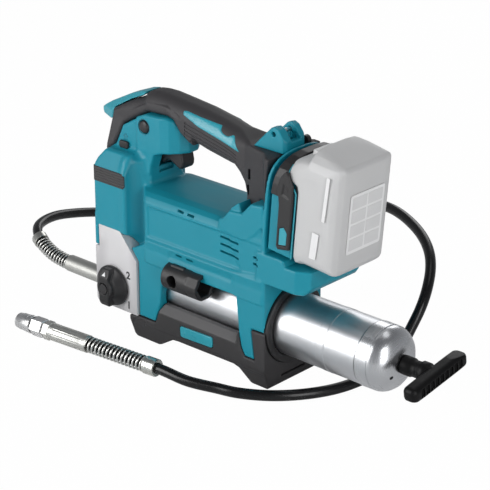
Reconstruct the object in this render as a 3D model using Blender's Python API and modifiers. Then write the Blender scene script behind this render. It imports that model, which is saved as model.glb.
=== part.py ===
"""Cordless grease gun: a battery tool with a steel grease barrel under a two-piece housing.

Frame: +X runs along the barrel to the T-handle at the rear, the pump head is at the front (-X),
left is -Y, y = 0 is the middle plane and z = 0 is the floor under the two feet. The origin is the
middle of the rear foot's underside. Dimensions below are millimetres, with x measured from a datum
REAR_FOOT_X in front of that origin; part() moves each finished piece to the frame, in metres.
"""

import math

import bmesh
import bpy
from mathutils import Matrix, Vector

MM = 0.001
REAR_FOOT_X = 46.0  # middle of the rear foot, which is the frame's origin
SMOOTH_ANGLE = math.radians(35.0)

# Barrel
BARREL_Z = 56.0
BARREL_R = 29.0
BARREL_WALL = 1.5
BARREL_X0, BARREL_X1 = -109.0, 150.0
BARREL_START = (BARREL_X0, 0, BARREL_Z)
BORE_R = BARREL_R + 1.3  # of the way through the housing and the base
FOLLOWER_AT = (-98, 0, BARREL_Z)
ROD_R = 4.0

# Housing
HALF_HEAD = 40.0
HALF_BODY = 36.0
HALF_COLUMN = 38.0
HALF_SPLIT = 0.15  # half the gap between the two housing halves
HEAD_X0 = -152.0
DECK_Z = 150.0

# Drive
MOTOR_Z = 117.0
MOTOR_AT = (0, 0, MOTOR_Z)
PINION_TEETH, GEAR_TEETH, MODULE = 8, 34, 1.0
GEAR_X0, GEAR_X1 = -108, -102
CRANK_Z = MOTOR_Z + MODULE * (PINION_TEETH + GEAR_TEETH) / 2
CRANK_AT = (0, 0, CRANK_Z)
THROW = 8.0
PIN_Z = CRANK_Z - THROW  # the crank pin rests at the bottom of its circle
PLUNGER_X = -126.0
PLUNGER_AT = (PLUNGER_X, 0, CRANK_Z)
PLUNGER_Z0 = 46

# Controls
DIAL_X, DIAL_Z, DIAL_R = -128.5, 49.0, 19.0
DIAL_AT = (DIAL_X, -40.4, DIAL_Z)
TRIGGER_PIVOT = (-94.0, 0.0, 181.0)
BUTTON_AT = (-103.0, 0, 205.0)

# Coupler holder, on the left of the barrel
HOLDER_Y, HOLDER_Z = -36.5, 78

# Battery, which leans back with its top towards +X
LEAN = math.radians(5.0)
PACK_AT = (87.0, 0.0, 132.0)
PACK_W, PACK_D, PACK_H = 75.0, 46.0, 98.0

# Grease port and check valve
PORT_Z = 28.0
SEAT_X, SEAT_R = -131.5, 2.4
CHECK_BALL_R = 3.4

# Hose
HOSE_R = 4.9
HOSE_Z = 5.3
HOSE_X0 = -177
SWING_AT = (46.6, -61.0, HOSE_Z)  # where the free hose meets the fixed hose
SWING_GAP = 1.1  # each hose stops this far short of SWING_AT
HOSE_SPACING, FINE_SPACING = 11.0, 3.0

for item in list(bpy.data.objects):
    bpy.data.objects.remove(item, do_unlink=True)

PARTS = bpy.data.collections.new("cordless_grease_gun")
HELPERS = bpy.data.collections.new("cutters")
bpy.context.scene.collection.children.link(PARTS)
bpy.context.scene.collection.children.link(HELPERS)
HELPERS.hide_render = True


# ---------------------------------------------------------------- materials
def material(name, colour, roughness, metallic=0.0):
    made = bpy.data.materials.new(name)
    made.use_nodes = True
    shader = made.node_tree.nodes["Principled BSDF"]
    shader.inputs["Base Color"].default_value = (*colour, 1.0)
    shader.inputs["Roughness"].default_value = roughness
    shader.inputs["Metallic"].default_value = metallic
    made.diffuse_color = (*colour, 1.0)
    return made


TEAL = material("teal_plastic", colour=(0.023, 0.30, 0.38), roughness=0.42)
BLACK = material("black_plastic", colour=(0.03, 0.029, 0.031), roughness=0.5)
RUBBER = material("black_rubber", colour=(0.045, 0.043, 0.046), roughness=0.7)
HOSE = material("hose_rubber", colour=(0.012, 0.012, 0.013), roughness=0.25)
CAST = material("cast_aluminium", colour=(0.55, 0.54, 0.56), roughness=0.45, metallic=0.6)
STEEL = material("barrel_steel", colour=(0.62, 0.63, 0.65), roughness=0.28, metallic=1.0)
ZINC = material("zinc_steel", colour=(0.66, 0.67, 0.66), roughness=0.3, metallic=1.0)
BRASS = material("brass", colour=(0.6, 0.43, 0.16), roughness=0.35, metallic=1.0)
PACK = material("pack_plastic", colour=(0.55, 0.55, 0.55), roughness=0.5)
COPPER = material("winding", colour=(0.5, 0.22, 0.09), roughness=0.4, metallic=1.0)


# ---------------------------------------------------------------- shape helpers
def link(name, data):
    made = bpy.data.objects.new(name, data)
    HELPERS.objects.link(made)
    return made


def face_outward(bm):
    """Make every face of a closed shape point outwards."""
    bmesh.ops.recalc_face_normals(bm, faces=bm.faces)
    if bm.calc_volume(signed=True) < 0:
        bmesh.ops.reverse_faces(bm, faces=bm.faces)


def from_bmesh(bm, name):
    face_outward(bm)
    mesh = bpy.data.meshes.new(name)
    bm.to_mesh(mesh)
    bm.free()
    return link(name, mesh)


def turn_outward(obj):
    bm = bmesh.new()
    bm.from_mesh(obj.data)
    face_outward(bm)
    bm.to_mesh(obj.data)
    bm.free()
    return obj


def bake(obj):
    """Replace an object's shape with its evaluated mesh and drop its modifiers."""
    graph = bpy.context.evaluated_depsgraph_get()
    mesh = bpy.data.meshes.new_from_object(obj.evaluated_get(graph))
    bm = bmesh.new()
    bm.from_mesh(mesh)
    bmesh.ops.remove_doubles(bm, verts=bm.verts, dist=0.002 * MM)
    bm.to_mesh(mesh)
    bm.free()
    if obj.type == "MESH":
        obj.modifiers.clear()
        obj.data = mesh
        return obj
    made = link(obj.name + "_mesh", mesh)
    made.matrix_world = obj.matrix_world
    bpy.data.objects.remove(obj, do_unlink=True)
    return made


def box(x0, x1, y0, y1, z0, z1):
    bm = bmesh.new()
    bmesh.ops.create_cube(bm, size=1.0)
    size = Matrix.Diagonal(((x1 - x0) * MM, (y1 - y0) * MM, (z1 - z0) * MM, 1.0))
    centre = Vector(((x0 + x1) / 2, (y0 + y1) / 2, (z0 + z1) / 2))
    bm.transform(Matrix.Translation(centre * MM) @ size)
    return from_bmesh(bm, "box")


AXES = {
    "X": Matrix(((0, 0, 1, 0), (0, 1, 0, 0), (-1, 0, 0, 0), (0, 0, 0, 1))),
    "Y": Matrix(((1, 0, 0, 0), (0, 0, 1, 0), (0, -1, 0, 0), (0, 0, 0, 1))),
    "Z": Matrix.Identity(4),
}


def along(axis):
    """The rotation that turns local +Z to a named axis or to a direction."""
    if isinstance(axis, str):
        return AXES[axis]
    return Vector(axis).normalized().to_track_quat("Z", "Y").to_matrix().to_4x4()


def rod(axis, centre, radius, length, sides):
    """A cylinder centred on a point."""
    bm = bmesh.new()
    bmesh.ops.create_cone(
        bm,
        cap_ends=True,
        segments=sides,
        radius1=radius * MM,
        radius2=radius * MM,
        depth=length * MM,
    )
    bm.transform(Matrix.Translation(Vector(centre) * MM) @ along(axis))
    return from_bmesh(bm, "rod")


def ball(centre, radius, rings=8, sides=12):
    bm = bmesh.new()
    bmesh.ops.create_uvsphere(bm, u_segments=sides, v_segments=rings, radius=radius * MM)
    bm.transform(Matrix.Translation(Vector(centre) * MM))
    return from_bmesh(bm, "ball")


def prism(plane, points, low, high):
    """An outline whose points are (x, z), (y, z) or (x, y), as plane says, given thickness from
    low to high along the third axis."""
    data = bpy.data.curves.new("outline", "CURVE")
    data.dimensions = "2D"
    data.fill_mode = "BOTH"
    data.extrude = (high - low) / 2 * MM
    spline = data.splines.new("POLY")
    spline.points.add(len(points) - 1)
    for slot, (u, v) in zip(spline.points, points):
        slot.co = (u * MM, v * MM, 0.0, 1.0)
    spline.use_cyclic_u = True
    obj = link("outline", data)
    middle = (low + high) / 2 * MM
    obj.matrix_world = {
        "XZ": Matrix(((1, 0, 0, 0), (0, 0, -1, middle), (0, 1, 0, 0), (0, 0, 0, 1))),
        "YZ": Matrix(((0, 0, 1, middle), (1, 0, 0, 0), (0, 1, 0, 0), (0, 0, 0, 1))),
        "XY": Matrix(((1, 0, 0, 0), (0, 1, 0, 0), (0, 0, 1, middle), (0, 0, 0, 1))),
    }[plane]
    bpy.context.view_layer.update()
    obj = bake(obj)
    obj.data.transform(obj.matrix_world)
    obj.matrix_world = Matrix.Identity(4)
    return turn_outward(obj)


def turned(axis, centre, profile, sides):
    """A profile of (radius, height) pairs turned about an axis through a point. It closes on
    itself unless both its ends are on the axis."""
    closed = profile[0][0] > 0 or profile[-1][0] > 0
    bm = bmesh.new()
    points = [bm.verts.new((radius * MM, 0.0, height * MM)) for radius, height in profile]
    for start, end in zip(points, points[1:]):
        bm.edges.new((start, end))
    if closed:
        bm.edges.new((points[-1], points[0]))
    mesh = bpy.data.meshes.new("profile")
    bm.to_mesh(mesh)
    bm.free()
    obj = link("turned", mesh)
    screw = obj.modifiers.new("turn", "SCREW")
    screw.axis = "Z"
    screw.angle = math.tau
    screw.steps = screw.render_steps = sides
    screw.use_merge_vertices = True
    screw.merge_threshold = 0.00001
    bake(obj)
    bm = bmesh.new()
    bm.from_mesh(obj.data)
    bmesh.ops.remove_doubles(bm, verts=bm.verts, dist=0.005 * MM)
    face_outward(bm)
    bm.transform(Matrix.Translation(Vector(centre) * MM) @ along(axis))
    bm.to_mesh(obj.data)
    bm.free()
    return obj


def wire(points, radius, resolution=0):
    """A round wire along a list of points, with filled ends."""
    data = bpy.data.curves.new("wire", "CURVE")
    data.dimensions = "3D"
    data.bevel_depth = radius * MM
    data.bevel_resolution = resolution
    data.use_fill_caps = True
    spline = data.splines.new("POLY")
    spline.points.add(len(points) - 1)
    for slot, point in zip(spline.points, points):
        slot.co = (*(Vector(point) * MM), 1.0)
    return turn_outward(bake(link("wire", data)))


def straight_coil(x0, x1, z, radius, turns, steps=10):
    """Points of a coil round a line along X, with a number of steps to the turn."""
    points = []
    for step in range(turns * steps + 1):
        angle = math.tau * step / steps
        x = x0 + (x1 - x0) * step / (turns * steps)
        points.append((x, radius * math.cos(angle), z + radius * math.sin(angle)))
    return points


def combine(obj, other, operation):
    step = obj.modifiers.new(operation.lower(), "BOOLEAN")
    step.operation = operation
    step.object = other
    bake(obj)
    bpy.data.objects.remove(other, do_unlink=True)
    return obj


def join(obj, *others):
    for other in others:
        combine(obj, other, "UNION")
    return obj


def cut(obj, *others):
    for other in others:
        combine(obj, other, "DIFFERENCE")
    return obj


def trim(obj, other):
    return combine(obj, other, "INTERSECT")


def soften(obj, width, segments=1, angle=40.0):
    step = obj.modifiers.new("edge", "BEVEL")
    step.width = width * MM
    step.segments = segments
    step.limit_method = "ANGLE"
    step.angle_limit = math.radians(angle)
    return bake(obj)


def place(obj, centre, angle=0.0):
    """Turn a shape built at the datum about X, then move it to a point."""
    move = Matrix.Translation(Vector(centre) * MM)
    obj.data.transform(move @ Matrix.Rotation(angle, 4, "X"))
    return obj


def lean(obj):
    """Turn a shape built upright in the pack's own frame to its leaning place."""
    move = Matrix.Translation(Vector(PACK_AT) * MM)
    obj.data.transform(move @ Matrix.Rotation(LEAN, 4, "Y"))
    return obj


def part(name, obj, finish, origin=(REAR_FOOT_X, 0, 0)):
    """Name a finished shape, give it its material and put its origin at a point."""
    HELPERS.objects.unlink(obj)
    PARTS.objects.link(obj)
    obj.name = name
    obj.data.name = name
    obj.data.materials.clear()
    obj.data.materials.append(finish)
    origin = Vector(origin)
    obj.data.transform(Matrix.Translation(-origin * MM))
    obj.location = (origin - Vector((REAR_FOOT_X, 0, 0))) * MM
    obj.data.shade_smooth()
    obj.data.set_sharp_from_angle(angle=SMOOTH_ANGLE)


def side_plates(name, outline, inner, outer):
    """A matching teal plate on each side, between two distances from the middle plane."""
    part(name + "_left", prism("XZ", outline, -outer, -inner), TEAL)
    part(name + "_right", prism("XZ", outline, inner, outer), TEAL)


def ring_way():
    """The recess for the barrel ring, cut from both the housing and the base."""
    return rod("X", (60.6, 0, BARREL_Z), 37.1, 12, 40)


# ---------------------------------------------------------------- housing halves
def housing_front():
    """The head over the pump, the throat behind it and the parts that go down in front."""
    head = prism(
        "YZ",
        [(-40, 105.5), (40, 105.5), (40, 160), (34.5, 170), (24, 177), (-24, 177), (-34.5, 170),
         (-40, 160)],
        HEAD_X0,
        -111,
    )
    front_slope = [(-153, 160.6), (-152.1, 160.6), (-143, 177.2), (-143, 179), (-153, 179)]
    head = cut(head, prism("XZ", front_slope, -41, 41))
    throat = prism(
        "XY",
        [(-112, -34), (-106, -28), (-97.4, -21), (-97.4, 21), (-106, 28), (-112, 34)],
        100,
        169,
    )
    throat_side = [(-114, 99), (-97, 99), (-97, 149), (-102, 164), (-103, 170), (-114, 170)]
    throat = trim(throat, prism("XZ", throat_side, -36, 36))
    strip = box(HEAD_X0 + 0.15, -147.6, -39.8, 39.8, 83.8, 112)
    column = prism(
        "XZ",
        [(-118.8, 105.7), (-97.5, 80.4), (-97.5, 26.6), (-77, 26.6), (-70, 46), (-66, 84),
         (-60, 109.3), (-114.5, 109.3)],
        -HALF_COLUMN,
        HALF_COLUMN,
    )
    return head, throat, strip, column


def housing_middle():
    """The motor housing and the raised belt round it."""
    shoulder = [(36, 84), (36, 140), (34.8, 145), (31, 148.2), (24, DECK_Z)]
    main = prism("YZ", [(-y, z) for y, z in shoulder] + shoulder[::-1], -99, 55)
    main_plan = [(-100, -27), (-89, -37), (56, -37), (56, 37), (-89, 37), (-100, 27)]
    main = trim(main, prism("XY", main_plan, 83, 153))
    belt = prism(
        "YZ",
        [(-30, 90), (-39, 96), (-39, 104), (-30, 110), (30, 110), (39, 104), (39, 96), (30, 90)],
        -92,
        56,
    )
    return main, belt


def housing_rear():
    """The column to the rear foot, the tower up to the handle and the shelf under the pack."""
    column = prism(
        "XZ",
        [(22, 99), (24, 84), (27, 50), (30, 36), (34.5, 28.5), (45.5, 28.5), (41.6, 56.6),
         (57.5, 57.1), (57.5, 99)],
        -HALF_COLUMN,
        HALF_COLUMN,
    )
    tower = prism(
        "XZ",
        [(14, 130), (14, 160.5), (29.7, 161.0), (40, 172.3), (53, 174.6), (54.6, 186), (60, 213),
         (63.6, 226.4), (66, 226.4), (63.2, 214), (56.8, 184), (53.6, 133), (56, 104), (20, 100)],
        -HALF_BODY,
        HALF_BODY,
    )
    half_trim = HALF_BODY + 1
    tower_end = [(-half_trim, 90), (half_trim, 90), (half_trim, 213), (29, 226.3), (-29, 226.3),
                 (-half_trim, 213)]
    tower = trim(tower, prism("YZ", tower_end, 0, 80))
    shelf = prism(
        "XZ",
        [(48, 105), (48, 132.4), (79, 131.2), (80.5, 126.4), (105, 126.4), (105, 112),
         (97, 104.7)],
        -HALF_COLUMN,
        HALF_COLUMN,
    )
    shelf_plan = [(40, -39), (96, -39), (106, -30), (100, 0), (106, 30), (96, 39), (40, 39)]
    shelf = trim(shelf, prism("XY", shelf_plan, 100, 140))
    return column, tower, shelf


def housing_neck():
    """The hollow front end of the handle, which narrows towards the grip."""
    neck = prism(
        "XZ",
        [(-147, 170), (-142.2, 178), (-132, 200), (-103, 216.6), (-79, 218), (-72, 216),
         (-64, 206), (-55, 199.4), (-55, 181), (-66, 180), (-90, 178), (-94, 150), (-130, 150)],
        -20.5,
        20.5,
    )
    neck_plan = [(-150, -22), (-84, -22), (-76, -17.8), (-68, -11.5), (-60.5, -6.5), (-60.5, 6.5),
                 (-68, 11.5), (-76, 17.8), (-84, 22), (-150, 22)]
    return trim(neck, prism("XY", neck_plan, 140, 220))


def housing_voids():
    """The hollows inside the housing and the ways for the pieces that pass through it."""
    main = prism(
        "YZ", [(-32, 94), (32, 94), (32, 137), (25, 144.4), (-25, 144.4), (-32, 137)], -102, 49
    )
    main_plan = [(-103, -19), (-98, -22), (-87, -32.5), (50, -32.5), (50, 32.5), (-87, 32.5),
                 (-98, 22), (-103, 19)]
    main = trim(main, prism("XY", main_plan, 90, 150))
    gear = prism(
        "XY",
        [(-114, -27.5), (-107, -24.6), (-101.6, -20), (-101.6, 20), (-107, 24.6), (-114, 27.5)],
        97,
        157,
    )
    head = prism(
        "YZ", [(-34, 103), (34, 103), (34, 156), (22, 170), (-22, 170), (-34, 156)], -143, -113.6
    )
    neck = prism(
        "XZ",
        [(-136, 166), (-130, 195), (-103, 212), (-86, 213.3), (-80, 211.5), (-79, 202),
         (-79, 190.5), (-97, 190.5), (-99, 166)],
        -15.0,
        15.0,
    )
    tower = prism("YZ", [(-31, 108), (31, 108), (31, 156), (-31, 156)], 20, 50)
    barrel_way = rod("X", (-24, 0, BARREL_Z), BORE_R, 178, 40)
    holder_way = rod("X", (-34.5, HOLDER_Y, HOLDER_Z), 13.7, 48, 20)
    trigger_way = box(-100.5, -66.4, -9.2, 9.2, 160, 199)
    trigger_bore = rod("Y", TRIGGER_PIVOT, 2.5, 26, 12)
    button_way = rod("Y", BUTTON_AT, 6.45, 60, 20)
    slider_way = box(-131.4, -126.6, -26, -15, 178.5, 192.5)
    return (main, gear, head, neck, tower, barrel_way, ring_way(), holder_way, trigger_way,
            trigger_bore, button_way, slider_way)


housing = join(*housing_front(), *housing_middle(), *housing_rear(), housing_neck())
housing = cut(housing, *housing_voids())

# Housing screws: x, z, y of the right face. Three have a boss; the last is in the front column.
SCREWS = [(-141.5, 119.0, 40.0), (-70.0, 138.0, 36.0), (46.0, 143.5, 36.0), (-85.0, 90.0, 38.0)]
for x, z, _ in SCREWS[:3]:
    housing = join(housing, rod("Y", (x, 0, z), 3.9, 68, 10))

# Vent slots through both sides: x0, x1, middle z
VENTS = [(3, 26, 132.5), (3, 26, 125.5), (3, 26, 118.5), (43, 49, 125), (43, 49, 119),
         (-48, -40, 143), (-36, -28, 143)]
for x0, x1, z in VENTS:
    housing = cut(housing, box(x0, x1, -45, 45, z - 1, z + 1))

left = trim(link("left", housing.data.copy()), box(-200, 150, -60, -HALF_SPLIT, 0, 260))
right = trim(housing, box(-200, 150, HALF_SPLIT, 60, 0, 260))
for index, (x, z, face_y) in enumerate(SCREWS, 1):
    head_way = rod("Y", (x, face_y, z), 4.4, 5.6, 14)
    shank_way = rod("Y", (x, face_y - 8, z), 2.1, 20, 10)
    right = cut(right, head_way, shank_way)
    screw = turned(
        "Y",
        (x, face_y - 2.4, z),
        [(0, 2.2), (3.9, 1.9), (3.9, 0), (1.7, 0), (1.7, -11), (0, -11)],
        12,
    )
    part("housing_screw_%d" % index, screw, ZINC)
part("housing_left", left, TEAL)
part("housing_right", right, TEAL)

# ---------------------------------------------------------------- pump head casting
casting = prism(
    "XZ",
    [(-151.6, 29), (-149, 26), (-98.3, 26), (-98.3, 80), (-119.3, 105), (-146.9, 105),
     (-146.9, 83), (-151.6, 83)],
    -HALF_HEAD,
    HALF_HEAD,
)
casting = join(
    soften(casting, 1.2),
    box(-151.6, -116, -15, 15, 14, 40),  # port block
    box(-134, -117.5, -12, 12, 100, 121),  # plunger guide
)
casting = cut(
    casting,
    rod("X", (-103, 0, BARREL_Z), BARREL_R + 0.4, 14, 40),  # barrel socket
    rod("X", (-116, 0, BARREL_Z), 7.0, 20, 12),  # passage from barrel to plunger bore
    rod("Z", (PLUNGER_X, 0, 76), 5.4, 96, 20),  # plunger bore
    rod("X", (SEAT_X + 4.5, 0, PORT_Z), SEAT_R, 9, 12),  # check valve seat
    rod("X", (-144, 0, PORT_Z), 4.4, 27, 16),  # check valve chamber
    rod("X", (-150, 0, PORT_Z), 8.4, 8, 20),  # hose socket
    rod("Y", (DIAL_X, -36, DIAL_Z), 6.4, 20, 20),  # dial socket
    rod("Y", (DIAL_X, 36, DIAL_Z), 4.6, 20, 14),  # relief valve socket
)
part("pump_head", casting, CAST)

# The ball stands 0.35 off the rim of its seat
check_ball_x = SEAT_X - math.sqrt(CHECK_BALL_R**2 - SEAT_R**2) - 0.35
check_ball_at = (check_ball_x, 0, PORT_Z)
part("check_ball", ball(check_ball_at, CHECK_BALL_R), ZINC, origin=check_ball_at)
check_coil = straight_coil(x0=-139.6, x1=-145.1, z=PORT_Z, radius=3.1, turns=5)
part("check_spring", wire(check_coil, 0.4), ZINC)

relief = turned(
    "Y",
    (DIAL_X, 40.4, DIAL_Z),
    [(0, 8), (6, 8), (7, 7), (7, 0), (4.2, 0), (4.2, -9), (0, -9)],
    6,
)
part("relief_valve", relief, BRASS)

# ---------------------------------------------------------------- selector dial
dial = turned(
    "Y",
    DIAL_AT,
    [(0, 12.2), (5.9, 12.2), (5.9, 0), (DIAL_R, 0), (DIAL_R, -3), (11.5, -11.2), (0, -11.2)],
    28,
)
grip_bar = box(DIAL_X - 5.5, DIAL_X + 5.5, -55, -41, DIAL_Z - 18.4, DIAL_Z + 18.4)
dial = join(dial, soften(grip_bar, 1.5))
dial = cut(dial, rod("Y", (DIAL_X, -54.5, DIAL_Z), 4.6, 5, 16))
part("speed_dial", dial, BLACK, origin=DIAL_AT)
part("dial_screw", rod("Y", (DIAL_X, -53.4, DIAL_Z), 4.0, 2.4, 12), ZINC, origin=DIAL_AT)

# ---------------------------------------------------------------- handle
grip = prism(
    "XZ",
    [(-154.4, 171), (-151.4, 190), (-149.5, 203), (-148, 211), (-127.7, 222.8), (-112, 229.8),
     (-111.2, 232.6), (-106, 235.2), (-97, 236.3), (-85, 236.1), (-68, 234.6), (-42, 232),
     (-16, 227.8), (5, 222.6), (17, 218.6), (26, 218), (52, 217.8), (58, 216), (53.9, 190),
     (52.2, 175.2), (39.8, 172.9), (29.4, 161.6), (16, 161.2), (17, 172), (13, 180), (6, 185.5),
     (-2, 189.5), (-15, 191.5), (-34, 195), (-44, 197.6), (-53, 200.2), (-64.2, 206.8),
     (-72.2, 216.8), (-79, 218.8), (-103.3, 217.4), (-132.5, 200.6), (-143, 177.9),
     (-149.2, 171)],
    -18,
    18,
)
rear_flare = prism(
    "XY",
    [(14, -17), (30, -21), (44, -24), (52.5, -33), (52.5, 33), (44, 24), (30, 21), (14, 17)],
    159,
    223,
)
REAR_FLARE_SIDE = [(19, 161.8), (29.1, 162.1), (39.5, 173.4), (51.6, 175.7), (53.2, 190),
                   (56.8, 214), (52, 216.6), (26, 217), (20, 211)]
rear_flare = trim(rear_flare, prism("XZ", REAR_FLARE_SIDE, -36, 36))
front_flare = prism("YZ", [(-22, 176), (22, 176), (17.2, 206), (-17.2, 206)], -153, -130)
FRONT_FLARE_SIDE = [(-151.4, 178.2), (-149.0, 199), (-147.6, 204), (-131, 204), (-133.4, 200),
                    (-143.2, 178.2)]
front_flare = trim(front_flare, prism("XZ", FRONT_FLARE_SIDE, -23, 23))
grip = soften(join(grip, rear_flare, front_flare), 4.5, segments=2, angle=60)
part("handle_grip", grip, RUBBER)

GRIP_INSERT = [(-60, 228), (-38, 226.5), (-16, 224), (-13, 219.5), (-6, 217.6), (0, 218.6),
               (8.5, 207.5), (-39, 218.6), (-59, 225.2)]
side_plates("grip_insert", GRIP_INSERT, inner=18.4, outer=19.6)

nose = prism(
    "XZ",
    [(-175.5, 203), (-173, 198.6), (-156, 198.6), (-150.3, 200.5), (-148.8, 211.6),
     (-128.2, 223.5), (-112, 230.8), (-111.9, 234.4), (-134, 225.4)],
    -14,
    14,
)
NOSE_PLAN = [(-177, -3), (-177, 3), (-150, 14), (-105, 14), (-105, -14), (-150, -14)]
nose = trim(nose, prism("XY", NOSE_PLAN, 190, 240))
part("nose_cap", soften(nose, 1.2), TEAL)

# ---------------------------------------------------------------- trigger and locks
trigger = prism(
    "XZ",
    [(-98.6, 186), (-98.6, 172), (-94, 169.5), (-86, 174), (-73, 169.6), (-69.4, 171),
     (-68.6, 174), (-70.4, 184), (-72, 189), (-76, 193), (-92, 191)],
    -8.2,
    8.2,
)
trigger = join(soften(trigger, 1.2), rod("Y", TRIGGER_PIVOT, 2.0, 23, 12))
part("trigger", trigger, BLACK, origin=TRIGGER_PIVOT)
switch = join(box(-124, -110, -9, 9, 180, 196), box(-122, -112, -5, 5, 172, 184))
part("switch_body", switch, BLACK)
part("lock_button", soften(rod("Y", BUTTON_AT, 5.9, 44, 20), 0.8), BLACK, origin=BUTTON_AT)
slider = soften(box(-134.5, -123.5, -24.4, -21.0, 179, 186), 1.0)
slider = join(slider, box(-131, -127, -22, -17.5, 180, 185))
part("lock_slider", slider, BLACK, origin=(-129, -21, 182.5))

# ---------------------------------------------------------------- front bumper, base
bumper = prism(
    "XY",
    [(-112, -41.5), (-152.1, -41.5), (-153.5, -40.1), (-153.5, 40.1), (-152.1, 41.5),
     (-112, 41.5), (-112, 40.3), (-152.3, 40.3), (-152.3, -40.3), (-112, -40.3)],
    147.5,
    159.5,
)
part("front_bumper", bumper, RUBBER)

base = prism(
    "XZ",
    [(-110, 3), (-108, 0), (-79, 0), (-56, 14), (20, 15.5), (28, 12), (36, 0), (56, 0), (58, 2),
     (58, 56.5), (42.2, 56), (46, 28), (34.2, 28), (29.5, 35.8), (26.5, 49.6), (24, 44.5),
     (-69.5, 45), (-76.4, 26), (-98, 25.4), (-110, 24)],
    -38,
    38,
)
BASE_END = [(-31, -1), (-38.6, 20), (-38.6, 60), (38.6, 60), (38.6, 20), (31, -1)]
base = trim(base, prism("YZ", BASE_END, -120, 70))
base = cut(
    base,
    rod("X", (-22, 0, BARREL_Z), BORE_R, 200, 40),
    ring_way(),
    rod("X", (-22, 0, 4), 9.0, 62, 12),
)
part("base_bumper", base, RUBBER)
BASE_INSET = [(-44, 32.5), (-4, 34), (-4, 24.5), (-43, 23)]
side_plates("base_inset", BASE_INSET, inner=38.4, outer=39.7)

RING_BORE_R = BARREL_R + 0.8
ring = turned(
    "X",
    (55.2, 0, BARREL_Z),
    [(36.5, 5.4), (36.5, 0), (RING_BORE_R, 0), (RING_BORE_R, 5.4)],
    40,
)
part("barrel_ring", ring, BLACK)

# ---------------------------------------------------------------- coupler holder
holder = cut(
    rod("X", (-36.75, HOLDER_Y, HOLDER_Z), 13.2, 42.5, 20),
    rod("X", (-16, HOLDER_Y, HOLDER_Z), 8.2, 26, 6),  # six-sided socket
    rod("Y", (-44.5, HOLDER_Y, HOLDER_Z), 5.7, 40, 16),  # cross hole
)
part("coupler_holder", holder, BLACK)

# ---------------------------------------------------------------- barrel and follower
inner_r = BARREL_R - BARREL_WALL
barrel_length = BARREL_X1 - BARREL_X0
tube = turned(
    "X",
    BARREL_START,
    [(BARREL_R, barrel_length), (BARREL_R, 0), (inner_r, 0), (inner_r, barrel_length)],
    40,
)
part("barrel_tube", tube, STEEL, origin=BARREL_START)
cap = turned(
    "X",
    (BARREL_X1, 0, BARREL_Z),
    [(4.6, 31), (11, 31), (17, 29.3), (23, 25.6), (27.2, 20.4), (29.2, 15.5), (29.2, 0.4),
     (26.9, 0.4), (26.9, -8), (25.2, -8), (25.2, 13.5), (22, 21), (15, 27), (10, 28.8),
     (4.6, 29)],
    40,
)
cap = cut(cap, rod("X", (176, -14, 47.5), 1.6, 16, 8))
part("barrel_end_cap", cap, STEEL, origin=BARREL_START)

follower = turned(
    "X",
    FOLLOWER_AT,
    [(27.0, 7), (27.0, 0), (4.5, 0), (4.5, 9), (9, 9), (9, 2.5), (25.2, 2.5), (25.2, 7)],
    36,
)
part("follower", follower, ZINC, origin=FOLLOWER_AT)
seal = turned("X", (-103.5, 0, BARREL_Z), [(27.1, 5), (27.1, 0), (20, 0), (20, 5)], 36)
part("follower_seal", seal, RUBBER, origin=FOLLOWER_AT)
follower_coil = straight_coil(x0=-93.6, x1=141.0, z=BARREL_Z, radius=22.5, turns=9)
part("follower_spring", wire(follower_coil, 1.2), ZINC)
piston_rod = rod("X", (52, 0, BARREL_Z), ROD_R, 288, 16)
part("piston_rod", piston_rod, ZINC, origin=FOLLOWER_AT)

handle = turned(
    "X",
    (182.4, 0, BARREL_Z),
    [(0, 32), (8, 32), (7.5, 24), (7.5, 0), (4.4, 0), (4.4, 14.2), (0, 14.2)],
    16,
)
cross_bar = soften(box(-7, 7, -36.5, 36.5, -7, 7), 4.5, segments=2, angle=60)
cross_bar = place(cross_bar, (215, 0, BARREL_Z), math.radians(9.0))
part("t_handle", join(handle, cross_bar), BLACK, origin=FOLLOWER_AT)

# ---------------------------------------------------------------- strap eye
PIN_AT = (47.5, 0, 232.5)
EYE = [(25, 219.2), (38.5, 232), (47, 238.6), (53, 237.5), (60.5, 227.2), (57, 219.2)]
eye = cut(prism("XZ", EYE, -14, 14), box(20, 65, -6, 6, 226, 245), rod("Y", PIN_AT, 2.4, 50, 12))
part("strap_eye", eye, TEAL)
part("strap_pin", rod("Y", PIN_AT, 2.0, 27, 12), ZINC)

# ---------------------------------------------------------------- battery and its holder
# These are built in the pack's own frame, upright, with its origin at PACK_AT.
cradle = prism(
    "XZ",
    [(-28.5, 3), (-28.5, 52), (-22.5, 82), (-19, 90.5), (-13, 91), (-13, 71), (-1, 70.6),
     (-1, 3)],
    -HALF_BODY,
    HALF_BODY,
)
CRADLE_END = [(-36.5, 0), (36.5, 0), (36.5, 77.5), (29.5, 90.5), (-29.5, 90.5), (-36.5, 77.5)]
cradle = trim(cradle, prism("YZ", CRADLE_END, -40, 10))
cradle = cut(
    cradle,
    box(-12.4, 5, -28.6, 28.6, 6, 110),  # way for the pack's tongue
    box(-20.4, -10, -20.4, 20.4, 18, 60),  # terminal pocket
)
part("battery_holder", lean(cradle), TEAL)

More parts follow.
